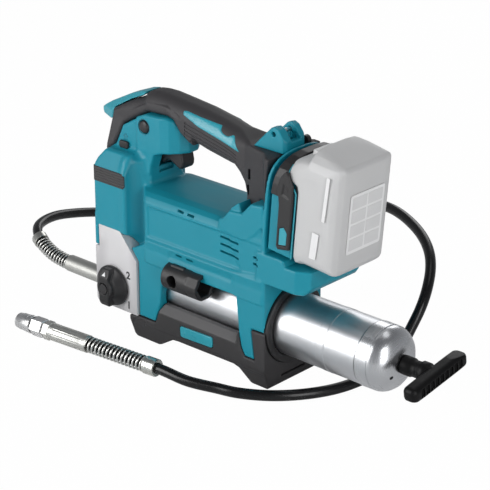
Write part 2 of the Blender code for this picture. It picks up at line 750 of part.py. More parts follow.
# Rubber arch over the holder, with a strip down each side
GUARD_ARCH = [(-38.2, 12), (-38.2, 78.5), (-30.6, 92.9), (30.6, 92.9), (38.2, 78.5), (38.2, 12),
              (36.6, 12), (36.6, 77.7), (29.7, 91.1), (-29.7, 91.1), (-36.6, 77.7), (-36.6, 12)]
GUARD_SIDE = [(-27.2, 54), (-27.2, 92), (-23, 97), (-13, 97), (-13, 54)]
guard = trim(prism("YZ", GUARD_ARCH, -27.2, -13.5), prism("XZ", GUARD_SIDE, -40, 40))
for y0, y1 in ((-38.2, -36.6), (36.6, 38.2)):
    guard = join(guard, prism("YZ", [(y0, 12), (y0, 66), (y1, 66), (y1, 12)], -16, -3))
part("battery_guard", lean(guard), RUBBER)
part("terminal_block", lean(box(-20, -12.8, -20, 20, 18.4, 59.6)), BLACK)

pack = prism(
    "XZ",
    [(0, 0), (3, -2.4), (PACK_D - 8, -2.4), (PACK_D, 4), (PACK_D, PACK_H - 3),
     (PACK_D - 3, PACK_H), (-9, PACK_H), (-12, PACK_H - 3), (-12, 71.4), (0, 71.4)],
    -PACK_W / 2,
    PACK_W / 2,
)
PACK_PLAN = [(-20, -38), (33, -38), (41.5, -35), (46.5, -26), (46.5, 26), (41.5, 35), (33, 38),
             (-20, 38)]
PACK_END = [(-20, -3), (20, -3), (31, 1.6), (38, 14), (38, 90), (30, 98.5), (-30, 98.5),
            (-38, 90), (-38, 14), (-31, 1.6)]
pack = trim(pack, prism("XY", PACK_PLAN, -5, 100))
pack = trim(pack, prism("YZ", PACK_END, -20, 60))
pack = join(pack, box(-11.6, 2, -27.6, 27.6, 8, 75))
pack = cut(pack, box(-8.5, 6.5, -12.5, 12.5, 91, 100))
part("battery_shell", lean(pack), PACK, origin=PACK_AT)
part("battery_button", lean(box(-8, 6, -12, 12, 94.6, 98.8)), PACK, origin=PACK_AT)

# ---------------------------------------------------------------- motor
can = turned(
    "X",
    (-22, 0, MOTOR_Z),
    [(22.6, 59), (22.6, 2), (8, 2), (8, -7), (6.4, -7), (6.4, -1), (3.4, -1), (3.4, 4),
     (20.6, 4), (20.6, 57), (3.4, 57), (3.4, 59)],
    28,
)
part("motor_can", can, ZINC)
bearing = turned("X", (-28.6, 0, MOTOR_Z), [(6.0, 5), (6.0, 0), (2.8, 0), (2.8, 5)], 16)
part("armature_bearing", bearing, ZINC)


def toothed(teeth, root, tip, root_half, tip_half):
    """A spur wheel with straight-sided teeth, given its root and tip radii and half-widths."""
    corners = ((root, -root_half), (tip, -tip_half), (tip, tip_half), (root, root_half))
    points = []
    for tooth in range(teeth):
        middle = math.tau * tooth / teeth
        for radius, half in corners:
            angle = middle + half / radius
            points.append((radius * math.cos(angle), radius * math.sin(angle)))
    return prism("YZ", points, GEAR_X0, GEAR_X1)


armature = turned(
    "X",
    (0, 0, 0),
    [(0, 47), (2.5, 47), (2.5, 33.6), (8, 33.6), (8, 28), (4, 28), (4, 26), (17.5, 26),
     (17.5, -8), (4, -8), (4, -12), (2.5, -12), (2.5, -109), (0, -109)],
    20,
)
pinion = toothed(PINION_TEETH, root=3.0, tip=4.8, root_half=0.72, tip_half=0.3)
part("armature", place(join(armature, pinion), MOTOR_AT), COPPER, origin=MOTOR_AT)

FAN_BLADES = 6
fan = join(rod("X", (41, 0, 0), 6.0, 5, 12), rod("X", (39.3, 0, 0), 20.0, 1.4, 20))
for index in range(FAN_BLADES):
    blade = box(39, 43.6, -0.8, 0.8, 4, 19.2)
    fan = join(fan, place(blade, (0, 0, 0), math.tau * index / FAN_BLADES))
fan = cut(fan, rod("X", (41, 0, 0), 2.9, 12, 12))
part("cooling_fan", place(fan, MOTOR_AT), BLACK, origin=MOTOR_AT)

# ---------------------------------------------------------------- gear, crank and plunger
gear = toothed(GEAR_TEETH, root=15.9, tip=17.8, root_half=0.85, tip_half=0.32)
gear = cut(gear, rod("X", ((GEAR_X0 + GEAR_X1) / 2, 0, 0), 4.4, 10, 12))
# Turn the lowest gap between teeth to point straight down, at the pinion
lowest_gap = round(GEAR_TEETH * 0.75 - 0.5) + 0.5
gear_turn = math.tau * (0.75 - lowest_gap / GEAR_TEETH)
part("reduction_gear", place(gear, CRANK_AT, gear_turn), ZINC, origin=CRANK_AT)

crank = join(
    rod("X", (-108.6, 0, CRANK_Z), 4.0, 13.2, 16),  # shaft
    rod("X", (-116.6, 0, CRANK_Z), 12.5, 3.6, 24),  # disc
    rod("X", (-118.8, 0, PIN_Z), 3.0, 3.8, 12),  # pin
)
part("crankshaft", crank, ZINC, origin=CRANK_AT)
bearing = turned("X", (-113.6, 0, CRANK_Z), [(8.0, 3.6), (8.0, 0), (4.4, 0), (4.4, 3.6)], 20)
part("crank_bearing", bearing, ZINC)
case = box(-113.4, -110.2, -25, 25, 123.5, 156)
part("gear_case", cut(case, rod("X", (-112, 0, CRANK_Z), 8.5, 10, 20)), CAST)

yoke = soften(box(-129.5, -122.0, -14.5, 14.5, PIN_Z - 6.5, PIN_Z + 6.5), 1.0)
yoke = cut(yoke, box(-127, -121, -11.5, 11.5, PIN_Z - 3.4, PIN_Z + 3.4))
part("crank_yoke", yoke, ZINC, origin=PLUNGER_AT)
plunger_top = PIN_Z - 6.9
plunger_middle = (PLUNGER_X, 0, (plunger_top + PLUNGER_Z0) / 2)
plunger = rod("Z", plunger_middle, 5.0, plunger_top - PLUNGER_Z0, 20)
part("plunger", plunger, ZINC, origin=PLUNGER_AT)


# ---------------------------------------------------------------- paths for the hose
def lengths_along(path):
    """The distance along a path of each of its points."""
    lengths = [0.0]
    for start, end in zip(path, path[1:]):
        lengths.append(lengths[-1] + (end - start).length)
    return lengths


def catmull_rom(points, steps=24):
    """Points along the middle span of a centripetal Catmull-Rom curve through four points."""
    knots = [0.0]
    for start, end in zip(points, points[1:]):
        knots.append(knots[-1] + (end - start).length ** 0.5)
    result = []
    for step in range(steps):
        at = knots[1] + (knots[2] - knots[1]) * step / steps
        level = points
        for reach in (1, 2, 2):
            # The last two levels both blend across knots 0-2 and 1-3, then 1-2
            if len(level) == 2:
                spans = [(knots[1], knots[2])]
            else:
                spans = list(zip(knots, knots[reach:]))
            level = [
                start * ((high - at) / (high - low)) + end * ((at - low) / (high - low))
                for start, end, (low, high) in zip(level, level[1:], spans)
            ]
        result.append(level[0])
    return result


def curve_through(points, spacing, before=None, after=None):
    """Evenly spaced points along a smooth curve, which can lead in from one more point and
    out to one."""
    points = [Vector(point) for point in points]
    first = Vector(before) if before else points[0] * 2 - points[1]
    last = Vector(after) if after else points[-1] * 2 - points[-2]
    padded = [first] + points + [last]
    dense = []
    for index in range(len(points) - 1):
        dense += catmull_rom(padded[index:index + 4])
    dense.append(points[-1])
    lengths = lengths_along(dense)
    spans = round(lengths[-1] / spacing)
    result, index = [], 0
    for step in range(spans + 1):
        want = lengths[-1] * step / spans
        while index < len(dense) - 2 and lengths[index + 1] < want:
            index += 1
        share = (want - lengths[index]) / (lengths[index + 1] - lengths[index])
        result.append(dense[index].lerp(dense[index + 1], share))
    return result


def coil_on(path, start, end, radius, turns, steps=8):
    """Points of a coil round part of a path, between two distances along it."""
    lengths = lengths_along(path)
    result = []
    count = turns * steps
    for step in range(count + 1):
        want = start + (end - start) * step / count
        index = max(i for i in range(len(path) - 1) if lengths[i] <= want)
        forward = (path[index + 1] - path[index]).normalized()
        behind = (path[index] - path[index - 1]).normalized()
        share = (want - lengths[index]) / (lengths[index + 1] - lengths[index])
        heading = behind.lerp(forward, 0.5 + 0.5 * share).normalized()
        centre = path[index].lerp(path[index + 1], share)
        side = heading.cross(Vector((0, 0, 1))).normalized()
        up = side.cross(heading)
        angle = math.tau * step / steps
        result.append(centre + (side * math.cos(angle) + up * math.sin(angle)) * radius)
    return result


def collar_on(path, distance, length, outer, bore):
    """A short sleeve round a path at a distance along it."""
    lengths = lengths_along(path)
    index = next(i for i in range(len(path) - 1) if lengths[i + 1] >= distance)
    start, end = path[index], path[index + 1]
    centre = start.lerp(end, (distance - lengths[index]) / (end - start).length)
    half = length / 2
    return turned(end - start, centre, [(outer, half), (outer, -half), (bore, -half), (bore, half)], 16)


# ---------------------------------------------------------------- hose
# Stations (x, y, z) of the fixed hose, from the pump head to SWING_AT, and of the free hose
SUPPLY = [(HOSE_X0, 0, 28), (-205, 0, 28), (-233, 0, 27.5), (-257, -0.5, 31), (-279, 3, 38.6),
          (-297, 15, 42), (-306.5, 30, 42), (-312.7, 53, 40), (-315, 82, 34), (-312, 112, 27),
          (-299, 148, 19), (-268, 180, 15), (-215, 202, 24), (-150, 212, 45), (-70, 207, 76),
          (13, 187, 98), (60, 168, 97), (91, 148, 91), (111, 130, 83), (123, 113, 71),
          (128, 99, 57), (125, 85, 36), (122, 75, 22), (118, 56, 11), (112, 28, 6.5),
          (105, 3, HOSE_Z), (91, -24, HOSE_Z), (71, -46, HOSE_Z), SWING_AT]
RUN = [SWING_AT, (28, -66.5, HOSE_Z), (0, -75.5, 6.2), (-26, -79.8, 9.4), (-60, -83, 9.6),
       (-126, -89.1, 9.6)]
supply = curve_through(SUPPLY, HOSE_SPACING, after=RUN[1])
run = curve_through(RUN, HOSE_SPACING, before=SUPPLY[-2])
supply[-1] = supply[-1] - (supply[-1] - supply[-2]).normalized() * SWING_GAP
run[0] = run[0] + (run[1] - run[0]).normalized() * SWING_GAP
part("hose_fixed", wire(supply, HOSE_R, resolution=2), HOSE)
part("hose_free", wire(run, HOSE_R, resolution=2), HOSE, origin=SWING_AT)

# Inlet end. The profile's heights are x, since it is turned from the datum.
ferrule = turned(
    "X",
    (0, 0, PORT_Z),
    [(2.2, -146.6), (7.9, -146.6), (7.9, -152.8), (10, -153.4), (10, -162), (8.2, -163),
     (8.2, -232.6), (5.5, -232.6), (5.5, -176.2), (2.2, -176.2)],
    20,
)
part("hose_inlet_ferrule", ferrule, ZINC)
supply_fine = curve_through(SUPPLY, FINE_SPACING)
guard_start = HOSE_X0 + 233.5  # the hose is all but straight up to here, at x = -233.5
inlet_coil = coil_on(supply_fine, guard_start, guard_start + 43, radius=6.4, turns=10)
part("inlet_spring_guard", wire(inlet_coil, 0.75), ZINC)
collar = collar_on(supply_fine, guard_start + 49, length=7.5, outer=7.6, bore=5.9)
part("inlet_guard_collar", collar, ZINC)

# Outlet end
run_fine = curve_through(RUN, FINE_SPACING, before=SUPPLY[-2])
run_length = lengths_along(run_fine)[-1]
collar = collar_on(run_fine, run_length - 88, length=13, outer=8.2, bore=6.0)
part("outlet_guard_collar", collar, ZINC, origin=SWING_AT)
outlet_coil = coil_on(run_fine, run_length - 80, run_length - 14.6, radius=6.5, turns=14)
part("outlet_spring_guard", wire(outlet_coil, 0.8), ZINC, origin=SWING_AT)

RUN_END = Vector(RUN[-1])
RUN_DIR = (RUN_END - Vector(RUN[-2])).normalized()


def on_run(distance):
    """A point on the straight outlet fittings, by its distance past the hose's end."""
    return RUN_END + RUN_DIR * distance


outlet = turned(
    RUN_DIR,
    on_run(0),
    [(0, 46), (4, 46), (4, 39.5), (9, 39.5), (9, 32), (8.2, 31), (8.2, -13.4), (5.4, -13.4),
     (5.4, 0.6), (0, 0.6)],
    20,
)
part("hose_outlet_ferrule", outlet, ZINC, origin=SWING_AT)
body = turned(
    RUN_DIR,
    on_run(40.2),
    [(0, 30), (6.4, 30), (6.4, 15), (9.2, 14), (9.2, 1), (8, 0), (0, 0)],
    6,
)
body = cut(body, rod(RUN_DIR, on_run(43), 4.5, 8, 16), rod(RUN_DIR, on_run(55), 2.6, 40, 12))
part("coupler_body", body, ZINC, origin=SWING_AT)
sleeve_at = on_run(55.2)
sleeve = turned(
    RUN_DIR,
    sleeve_at,
    [(7.2, 19), (8.0, 18), (8.6, 0), (6.9, 0), (6.9, 15.6), (3.2, 15.6), (3.2, 19)],
    20,
)
part("coupler_sleeve", sleeve, ZINC, origin=sleeve_at)
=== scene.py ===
"""The looks of a cordless grease gun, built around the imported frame.

Shapes are in millimetres in the tool's own datum. The nose points to -x, the battery and the
barrel's handle stand at +x, y = 0 is the middle plane and z = 0 is the floor. The frame's origin
is the middle of the rear foot's underside, at x = FOOT_X.
"""

import math
from functools import reduce

import bmesh
import bpy
import numpy as np
import openvdb
from mathutils import Matrix, Vector


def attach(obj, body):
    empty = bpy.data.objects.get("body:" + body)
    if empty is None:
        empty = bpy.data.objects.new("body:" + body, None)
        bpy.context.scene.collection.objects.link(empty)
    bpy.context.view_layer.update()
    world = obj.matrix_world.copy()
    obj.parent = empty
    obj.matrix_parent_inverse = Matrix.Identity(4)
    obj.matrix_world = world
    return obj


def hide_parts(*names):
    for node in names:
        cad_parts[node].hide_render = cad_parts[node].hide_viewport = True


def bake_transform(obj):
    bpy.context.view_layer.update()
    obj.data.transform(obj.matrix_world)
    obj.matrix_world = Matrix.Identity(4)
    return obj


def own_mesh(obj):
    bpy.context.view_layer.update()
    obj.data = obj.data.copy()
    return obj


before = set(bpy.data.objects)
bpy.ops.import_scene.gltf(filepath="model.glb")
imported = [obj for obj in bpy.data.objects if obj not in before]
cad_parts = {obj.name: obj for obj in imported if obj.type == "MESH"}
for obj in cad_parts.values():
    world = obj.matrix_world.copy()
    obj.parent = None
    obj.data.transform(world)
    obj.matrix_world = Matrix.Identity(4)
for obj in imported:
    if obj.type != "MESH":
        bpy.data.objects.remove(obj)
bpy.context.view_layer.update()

MM = 0.001
FOOT_X = 46.0

# Places and sizes that several pieces share.
AXIS_Z = 56                       # height of the barrel's axis
BORE_R = 30.3                     # clearance round the barrel
RING_RECESS_R = 37.1              # recess for the seal ring
BUTTON_X, BUTTON_Z = -103, 205    # axis of the lock button
DIAL_X, DIAL_Z = -128.5, 49.0     # axis of the selector dial and the relief valve
PACK_X, PACK_Z = 87, 132          # origin of the battery pack's leaning axes
LEAN = math.radians(5.0)          # how far the pack leans back


def on_axis(x):
    return (x, 0, AXIS_Z)


# ------------------------------------------------------------------ mesh helpers
def link(mesh):
    obj = bpy.data.objects.new("shape", mesh)
    bpy.context.scene.collection.objects.link(obj)
    return obj


def outward(bm):
    bmesh.ops.recalc_face_normals(bm, faces=bm.faces)
    if bm.calc_volume(signed=True) < 0:
        bmesh.ops.reverse_faces(bm, faces=bm.faces)


def to_mesh(bm):
    mesh = bpy.data.meshes.new("shape")
    bm.to_mesh(mesh)
    bm.free()
    return mesh


def from_bm(bm):
    outward(bm)
    return link(to_mesh(bm))


def evaluated_mesh(obj):
    graph = bpy.context.evaluated_depsgraph_get()
    return bpy.data.meshes.new_from_object(obj.evaluated_get(graph))


def rounded(points, radii, steps=5):
    """A closed outline with its corners rounded; radii is one number or one for each corner."""
    count = len(points)
    if not isinstance(radii, list):
        radii = [radii] * count
    result = []
    for i, (point, radius) in enumerate(zip(points, radii)):
        corner = Vector(point)
        if radius <= 0:
            result.append((corner.x, corner.y))
            continue
        to_last = Vector(points[i - 1]) - corner
        to_next = Vector(points[(i + 1) % count]) - corner
        half = to_last.angle(to_next) / 2
        run = min(radius / math.tan(half), to_last.length * 0.49, to_next.length * 0.49)
        radius = run * math.tan(half)
        to_last.normalize()
        to_next.normalize()
        centre = corner + (to_last + to_next).normalized() * (radius / math.sin(half))
        start, end = corner + to_last * run - centre, corner + to_next * run - centre
        turn = start.angle_signed(end)
        for step in range(steps + 1):
            angle = -turn * step / steps
            cos, sin = math.cos(angle), math.sin(angle)
            result.append((centre.x + start.x * cos - start.y * sin,
                           centre.y + start.x * sin + start.y * cos))
    return result


# How an outline's two coordinates and the depth fill (x, y, z).
PLANES = {
    "XZ": lambda across, up, depth: (across, depth, up),
    "YZ": lambda across, up, depth: (depth, across, up),
}


def prism(plane, points, low, high, radii=0, edge=0.0, segments=3):
    """An outline given thickness along the third axis, with round corners and bevelled rims."""
    corners = rounded(points, radii)
    place = PLANES[plane]
    bm = bmesh.new()
    lower, upper = [[bm.verts.new(Vector(place(across, up, depth)) * MM) for across, up in corners]
                    for depth in (low, high)]
    bm.faces.new(lower)
    bm.faces.new(upper)
    for i in range(len(corners)):
        j = (i + 1) % len(corners)
        bm.faces.new((lower[i], lower[j], upper[j], upper[i]))
    if edge > 0:
        outward(bm)
        rims = [e for e in bm.edges if len({v in lower for v in e.verts}) == 1]
        bmesh.ops.bevel(bm, geom=rims, offset=edge * MM, segments=segments, profile=0.5,
                        affect="EDGES", clamp_overlap=True)
    return from_bm(bm)


AXES = {
    "X": Matrix(((0, 0, 1, 0), (0, 1, 0, 0), (-1, 0, 0, 0), (0, 0, 0, 1))),
    "Y": Matrix(((1, 0, 0, 0), (0, 0, 1, 0), (0, -1, 0, 0), (0, 0, 0, 1))),
}


def along(axis):
    """The turn that lays z along a named axis or a direction."""
    if isinstance(axis, str):
        return AXES[axis]
    return Vector(axis).normalized().to_track_quat("Z", "Y").to_matrix().to_4x4()


def lathe(axis, centre, profile, sides=96):
    """(radius, height) pairs turned about an axis.

    A profile that starts at radius 0 ends there too; any other closes into a ring. A radius may
    also be a function of the angle.
    """
    bm = bmesh.new()
    rings = []
    for radius, height in profile:
        if radius == 0:
            rings.append([bm.verts.new((0, 0, height * MM))])
            continue
        ring = []
        for k in range(sides):
            angle = math.tau * k / sides
            reach = radius(angle) if callable(radius) else radius
            ring.append(bm.verts.new((reach * MM * math.cos(angle), reach * MM * math.sin(angle),
                                      height * MM)))
        rings.append(ring)
    pairs = list(zip(rings, rings[1:]))
    if len(rings[0]) > 1:
        pairs.append((rings[-1], rings[0]))
    for first, second in pairs:
        for k in range(sides):
            j = (k + 1) % sides
            if len(first) == 1:
                bm.faces.new((first[0], second[j], second[k]))
            elif len(second) == 1:
                bm.faces.new((first[k], first[j], second[0]))
            else:
                bm.faces.new((first[k], first[j], second[j], second[k]))
    bm.transform(Matrix.Translation(Vector(centre) * MM) @ along(axis))
    return from_bm(bm)


def rod(axis, centre, radius, length, sides):
    half = length / 2
    return lathe(axis, centre, [(0, half), (radius, half), (radius, -half), (0, -half)], sides)


def tube(points, radius, sides):
    """A round tube swept along points, with a steady twist-free frame."""
    points = [Vector(p) for p in points]
    steps = [(after - before).normalized() for before, after in zip(points, points[1:])]
    headings = [steps[0]]
    headings += [(ahead + behind).normalized() for behind, ahead in zip(steps, steps[1:])]
    headings.append(steps[-1])
    bm = bmesh.new()
    rings = []
    side = steps[0].cross(Vector((0, 0, 1))).normalized()
    for centre, heading in zip(points, headings):
        side = (side - heading * side.dot(heading)).normalized()
        other = heading.cross(side)
        ring = []
        for k in range(sides):
            angle = math.tau * k / sides
            offset = side * math.cos(angle) + other * math.sin(angle)
            ring.append(bm.verts.new((centre + offset * radius) * MM))
        rings.append(ring)
    for first, second in zip(rings, rings[1:]):
        for k in range(sides):
            j = (k + 1) % sides
            bm.faces.new((first[k], first[j], second[j], second[k]))
    bm.faces.new(rings[0])
    bm.faces.new(rings[-1])
    return from_bm(bm)


def join(*objs):
    """Put several meshes into one without merging their surfaces."""
    bm = bmesh.new()
    for obj in objs:
        bm.from_mesh(obj.data)
    for obj in objs[1:]:
        bpy.data.objects.remove(obj, do_unlink=True)
    objs[0].data = to_mesh(bm)
    return objs[0]


def cut(obj, *tools):
    """Take shapes away from a mesh; EXACT takes over where MANIFOLD changes nothing."""
    for tool in tools:
        for solver in ("MANIFOLD", "EXACT"):
            step = obj.modifiers.new("cut", "BOOLEAN")
            step.operation = "DIFFERENCE"
            step.object = tool
            step.solver = solver
            step.use_self = solver == "EXACT"
            mesh = evaluated_mesh(obj)
            obj.modifiers.clear()
            if 0 < len(mesh.vertices) != len(obj.data.vertices):
                break
        obj.data = mesh
        bpy.data.objects.remove(tool, do_unlink=True)
    return obj


def both(obj):
    """A shape joined with its mirror image across the middle plane."""
    mesh = obj.data.copy()
    mesh.transform(Matrix.Scale(-1, 4, Vector((0, 1, 0))))
    mesh.flip_normals()
    return join(obj, link(mesh))


# ------------------------------------------------------------------ sampled solids
# A sampled shape is an array of signed distances in millimetres, negative inside.
def outline(points, across, up):
    """Signed distance to a closed outline."""
    across, up = np.broadcast_arrays(across, up)
    best = np.full(across.shape, 1e9, np.float32)
    inside = np.zeros(across.shape, bool)
    for (ax, ay), (bx, by) in zip(points, points[1:] + points[:1]):
        ex, ey = bx - ax, by - ay
        t = np.clip(((across - ax) * ex + (up - ay) * ey) / (ex * ex + ey * ey), 0, 1)
        np.minimum(best, (across - ax - ex * t) ** 2 + (up - ay - ey * t) ** 2, out=best)
        if ey:
            inside ^= ((ay > up) != (by > up)) & (across < ex * (up - ay) / ey + ax)
    return np.where(inside, -1, 1).astype(np.float32) * np.sqrt(best)


def sided(points, across, up):
    """An outline for one side of the middle plane, which its points at 0 carry on past."""
    return outline([tuple(-40.0 if c == 0 else c for c in point) for point in points], across, up)


class Block:
    """A block of space on a grid; off is the distance off the middle plane."""

    def __init__(self, low, high, step):
        self.step = step * 1.0
        self.low = np.array(low, np.float32)
        axes = [np.arange(a, b + self.step, self.step, dtype=np.float32)
                for a, b in zip(low, high)]
        self.shape = tuple(len(axis) for axis in axes)
        self.x = axes[0][:, None, None]
        self.y = axes[1][None, :, None]
        self.z = axes[2][None, None, :]
        self.off = np.abs(self.y)

    def axes(self):
        return self.x, self.y, self.z, self.off

    def profile(self, points):
        """The side view, from (x, z) points."""
        return outline(points, self.x, self.z)

    def plan(self, points):
        """The view from above, from (x, off) points."""
        return sided(points, self.x, self.off)

    def section(self, points):
        """The end view, from (off, z) points."""
        return sided(points, self.off, self.z)


class PackBlock(Block):
    """A block whose x and z are the pack's own axes, which lean back with it."""

    def __init__(self, low, high, step):
        super().__init__(low, high, step)
        dx, dz = self.x - PACK_X, self.z - PACK_Z
        self.x = dx * math.cos(LEAN) - dz * math.sin(LEAN)
        self.z = dx * math.sin(LEAN) + dz * math.cos(LEAN)


def band(coordinate, low, high):
    return np.abs(coordinate - (low + high) / 2) - (high - low) / 2


def meet(a, b, r=0.0):
    """Where two shapes overlap, with a rounded edge of radius r."""
    if np.isscalar(r) and r <= 0:
        return np.maximum(a, b)
    return (np.minimum(np.maximum(a, b) + r, 0)
            + np.hypot(np.maximum(a + r, 0), np.maximum(b + r, 0)) - r)


def merge(a, b, r):
    """Two shapes as one, with a fillet of about r where they meet."""
    h = np.clip(0.5 + 0.5 * (b - a) / r, 0, 1)
    return b * (1 - h) + a * h - r * h * (1 - h)


def less(a, b, r=0.0):
    return meet(a, -b, r)


def skin(block, field, most):
    """The surface of a sampled shape, thinned to about the given number of faces."""
    full = np.ascontiguousarray(np.broadcast_to(field, block.shape), dtype=np.float32)
    reach = block.step * 3
    grid = openvdb.FloatGrid(reach)
    grid.copyFromArray(np.clip(full, -reach, reach))
    points, triangles, quads = grid.convertToPolygons(0.0, 0.0)
    mesh = bpy.data.meshes.new("skin")
    mesh.from_pydata((points * block.step + block.low) * MM, [],
                     [*quads.tolist(), *triangles.tolist()])
    mesh.update()
    a = points[quads[:, 0]]
    b, c, d = [points[quads[:, i]] - a for i in (1, 2, 3)]
    volume = np.einsum("ij,ij->", a, np.cross(b, c) + np.cross(c, d))
    if volume < 0:
        mesh.flip_normals()
    obj = link(mesh)
    if len(quads) > most:
        step = obj.modifiers.new("thin", "DECIMATE")
        step.ratio = most / len(quads)
        thinned = evaluated_mesh(obj)
        obj.modifiers.clear()
        obj.data = thinned
    return obj


# ------------------------------------------------------------------ materials
GRAIN_DEPTH = 0.00012   # metres of bump on moulded and cast surfaces
TURNING_DEPTH = 0.00005  # metres of bump on turned metal


class Nodes:
    def __init__(self, tree):
        self.tree = tree

    def add(self, kind, inputs=None, **settings):
        node = self.tree.nodes.new(kind)
        for key, value in settings.items():
            setattr(node, key, value)
        for socket, value in (inputs or {}).items():
            node.inputs[socket].default_value = value
        return node

    def mix(self, **colours):
        return self.add("ShaderNodeMix", {key: (*rgb, 1) for key, rgb in colours.items()},
                        data_type="RGBA")

    def wire(self, source, output, target, socket):
        self.tree.links.new(source.outputs[output], target.inputs[socket])


def new_material(name):
    material = bpy.data.materials.new(name)
    material.use_nodes = True
    nodes = Nodes(material.node_tree)
    return material, nodes, nodes.tree.nodes["Principled BSDF"]


def surface(name, colour, rough, metal=0.0, grain=0.0, grain_size=0.5, blotch=0.06,
            blotch_size=30.0, rough_vary=0.08, coat=0.0, edge=0.0, spec=0.5):
    """A moulded or cast surface: drifting colour and roughness, fine grain and a painted highlight
    on convex edges.

    The sizes are in millimetres.
    """
    material, nodes, shader = new_material(name)
    add, wire = nodes.add, nodes.wire
    for socket, value in (("Metallic", metal), ("Specular IOR Level", spec),
                          ("Coat Weight", coat), ("Coat Roughness", 0.15)):
        shader.inputs[socket].default_value = value
    coord = add("ShaderNodeTexCoord")
    mapping = add("ShaderNodeMapping")
    wire(coord, "Object", mapping, "Vector")
    big = add("ShaderNodeTexNoise", {"Scale": 1000.0 / blotch_size, "Detail": 3.0})
    wire(coord, "Object", big, "Vector")
    fine = add("ShaderNodeTexNoise", {"Scale": 1000.0 / grain_size, "Detail": 2.0})
    wire(mapping, "Vector", fine, "Vector")
    tinted = nodes.mix(A=[c * (1 - blotch) for c in colour], B=[c * (1 + blotch) for c in colour])
    wire(big, "Fac", tinted, "Factor")
    # Painted highlight: convex edges, found by pointiness, are lightened towards a paler colour by
    # the share edge.
    if edge > 0:
        geometry = add("ShaderNodeNewGeometry")
        ramp = add("ShaderNodeMapRange", {"From Min": 0.53, "From Max": 0.62, "To Max": edge})
        wire(geometry, "Pointiness", ramp, "Value")
        edge_highlight = nodes.mix(B=[min(1.0, c * 1.8 + 0.06) for c in colour])
        wire(ramp, "Result", edge_highlight, "Factor")
        wire(tinted, "Result", edge_highlight, "A")
        tinted = edge_highlight
    wire(tinted, "Result", shader, "Base Color")
    drift = add("ShaderNodeMapRange", {"To Min": rough - rough_vary, "To Max": rough + rough_vary})
    wire(big, "Fac", drift, "Value")
    wire(drift, "Result", shader, "Roughness")
    bump = add("ShaderNodeBump", {"Strength": grain, "Distance": GRAIN_DEPTH})
    wire(fine, "Fac", bump, "Height")
    wire(bump, "Normal", shader, "Normal")
    return material


def turned_metal(name, colour, rough, ring_size, strength, vary=0.1, axis_scale=(1, 0.02, 0.02)):
    """Metal with fine marks round its axis, ring_size millimetres apart."""
    material, nodes, shader = new_material(name)
    add, wire = nodes.add, nodes.wire
    shader.inputs["Metallic"].default_value = 1.0
    coord = add("ShaderNodeTexCoord")
    mapping = add("ShaderNodeMapping", {"Scale": axis_scale})
    wire(coord, "Object", mapping, "Vector")
    lines = add("ShaderNodeTexNoise", {"Scale": 1000.0 / ring_size, "Detail": 3.0})
    wire(mapping, "Vector", lines, "Vector")
    cloud = add("ShaderNodeTexNoise", {"Scale": 28.0, "Detail": 4.0})
    wire(coord, "Object", cloud, "Vector")
    tinted = nodes.mix(A=[c * 0.88 for c in colour], B=[c * 1.08 for c in colour])
    wire(cloud, "Fac", tinted, "Factor")
    wire(tinted, "Result", shader, "Base Color")
    total = add("ShaderNodeMath", operation="ADD")
    wire(lines, "Fac", total, 0)
    wire(cloud, "Fac", total, 1)
    drift = add("ShaderNodeMapRange", {"From Min": 0.5, "From Max": 1.5,
                                       "To Min": rough - vary, "To Max": rough + vary})
    wire(total, "Value", drift, "Value")
    wire(drift, "Result", shader, "Roughness")
    bump = add("ShaderNodeBump", {"Strength": strength, "Distance": TURNING_DEPTH})
    wire(lines, "Fac", bump, "Height")
    wire(bump, "Normal", shader, "Normal")
    return material


TEAL = surface("teal_moulded", colour=(0.008, 0.258, 0.345), rough=0.40, spec=0.36, grain=0.10,
               grain_size=0.45, blotch=0.035, edge=0.10, rough_vary=0.05)
TEAL_SOFT = surface("teal_gloss_insert", colour=(0.03, 0.33, 0.41), rough=0.28, grain=0.03,
                    grain_size=0.6, blotch=0.03, edge=0.08)
BLACK = surface("black_moulded", colour=(0.015, 0.0145, 0.0155), rough=0.42, grain=0.18,
                blotch=0.10, edge=0.10)
GRIP = surface("grip_rubber", colour=(0.036, 0.034, 0.037), rough=0.58, grain=0.32,
               grain_size=0.7, blotch=0.10, edge=0.06, rough_vary=0.07)
BUMPER = surface("bumper_rubber", colour=(0.030, 0.0285, 0.030), rough=0.55, grain=0.25,
                 grain_size=0.8, blotch=0.12, edge=0.10)
# Paler rubber colour painted as sheen on the base's upward-facing bevels; the dial's rim line uses
# it too.
BUMPER_TOP = surface("bumper_rubber_top_sheen", colour=(0.10, 0.098, 0.10), rough=0.62, grain=0.28,
                     grain_size=0.8, blotch=0.12)
HOSE = surface("hose_cover", colour=(0.004, 0.004, 0.0045), rough=0.26, grain=0.06,
               grain_size=1.2, blotch=0.2, coat=0.1, spec=0.35, rough_vary=0.06)
CAST = surface("cast_silver_paint", colour=(0.56, 0.55, 0.56), rough=0.48, metal=0.25,
               grain=0.35, grain_size=0.9, blotch=0.04, edge=0.25)
MARK = surface("marking_ink", colour=(0.045, 0.045, 0.05), rough=0.5, grain=0.05,
               grain_size=0.3, blotch=0.15)
WHITE = surface("pointer_white", colour=(0.82, 0.82, 0.82), rough=0.4, grain=0.05,
                grain_size=0.4, blotch=0.03)
BARREL = turned_metal("satin_barrel", colour=(0.66, 0.67, 0.69), rough=0.34, ring_size=1.0,
                      strength=0.006, vary=0.03)
CAP = turned_metal("satin_cap", colour=(0.64, 0.65, 0.67), rough=0.27, ring_size=1.0,
                   strength=0.006, vary=0.03)
ZINC = turned_metal("zinc_fittings", colour=(0.66, 0.66, 0.62), rough=0.26, ring_size=1.1,
                    strength=0.12, vary=0.06)
ZINC_BRIGHT = turned_metal("bright_zinc", colour=(0.74, 0.74, 0.74), rough=0.28, ring_size=1.1,
                           strength=0.04, vary=0.05)
FERRULE = turned_metal("dull_zinc_ferrule", colour=(0.60, 0.60, 0.57), rough=0.40,
                       ring_size=2.0, strength=0.03, vary=0.05)
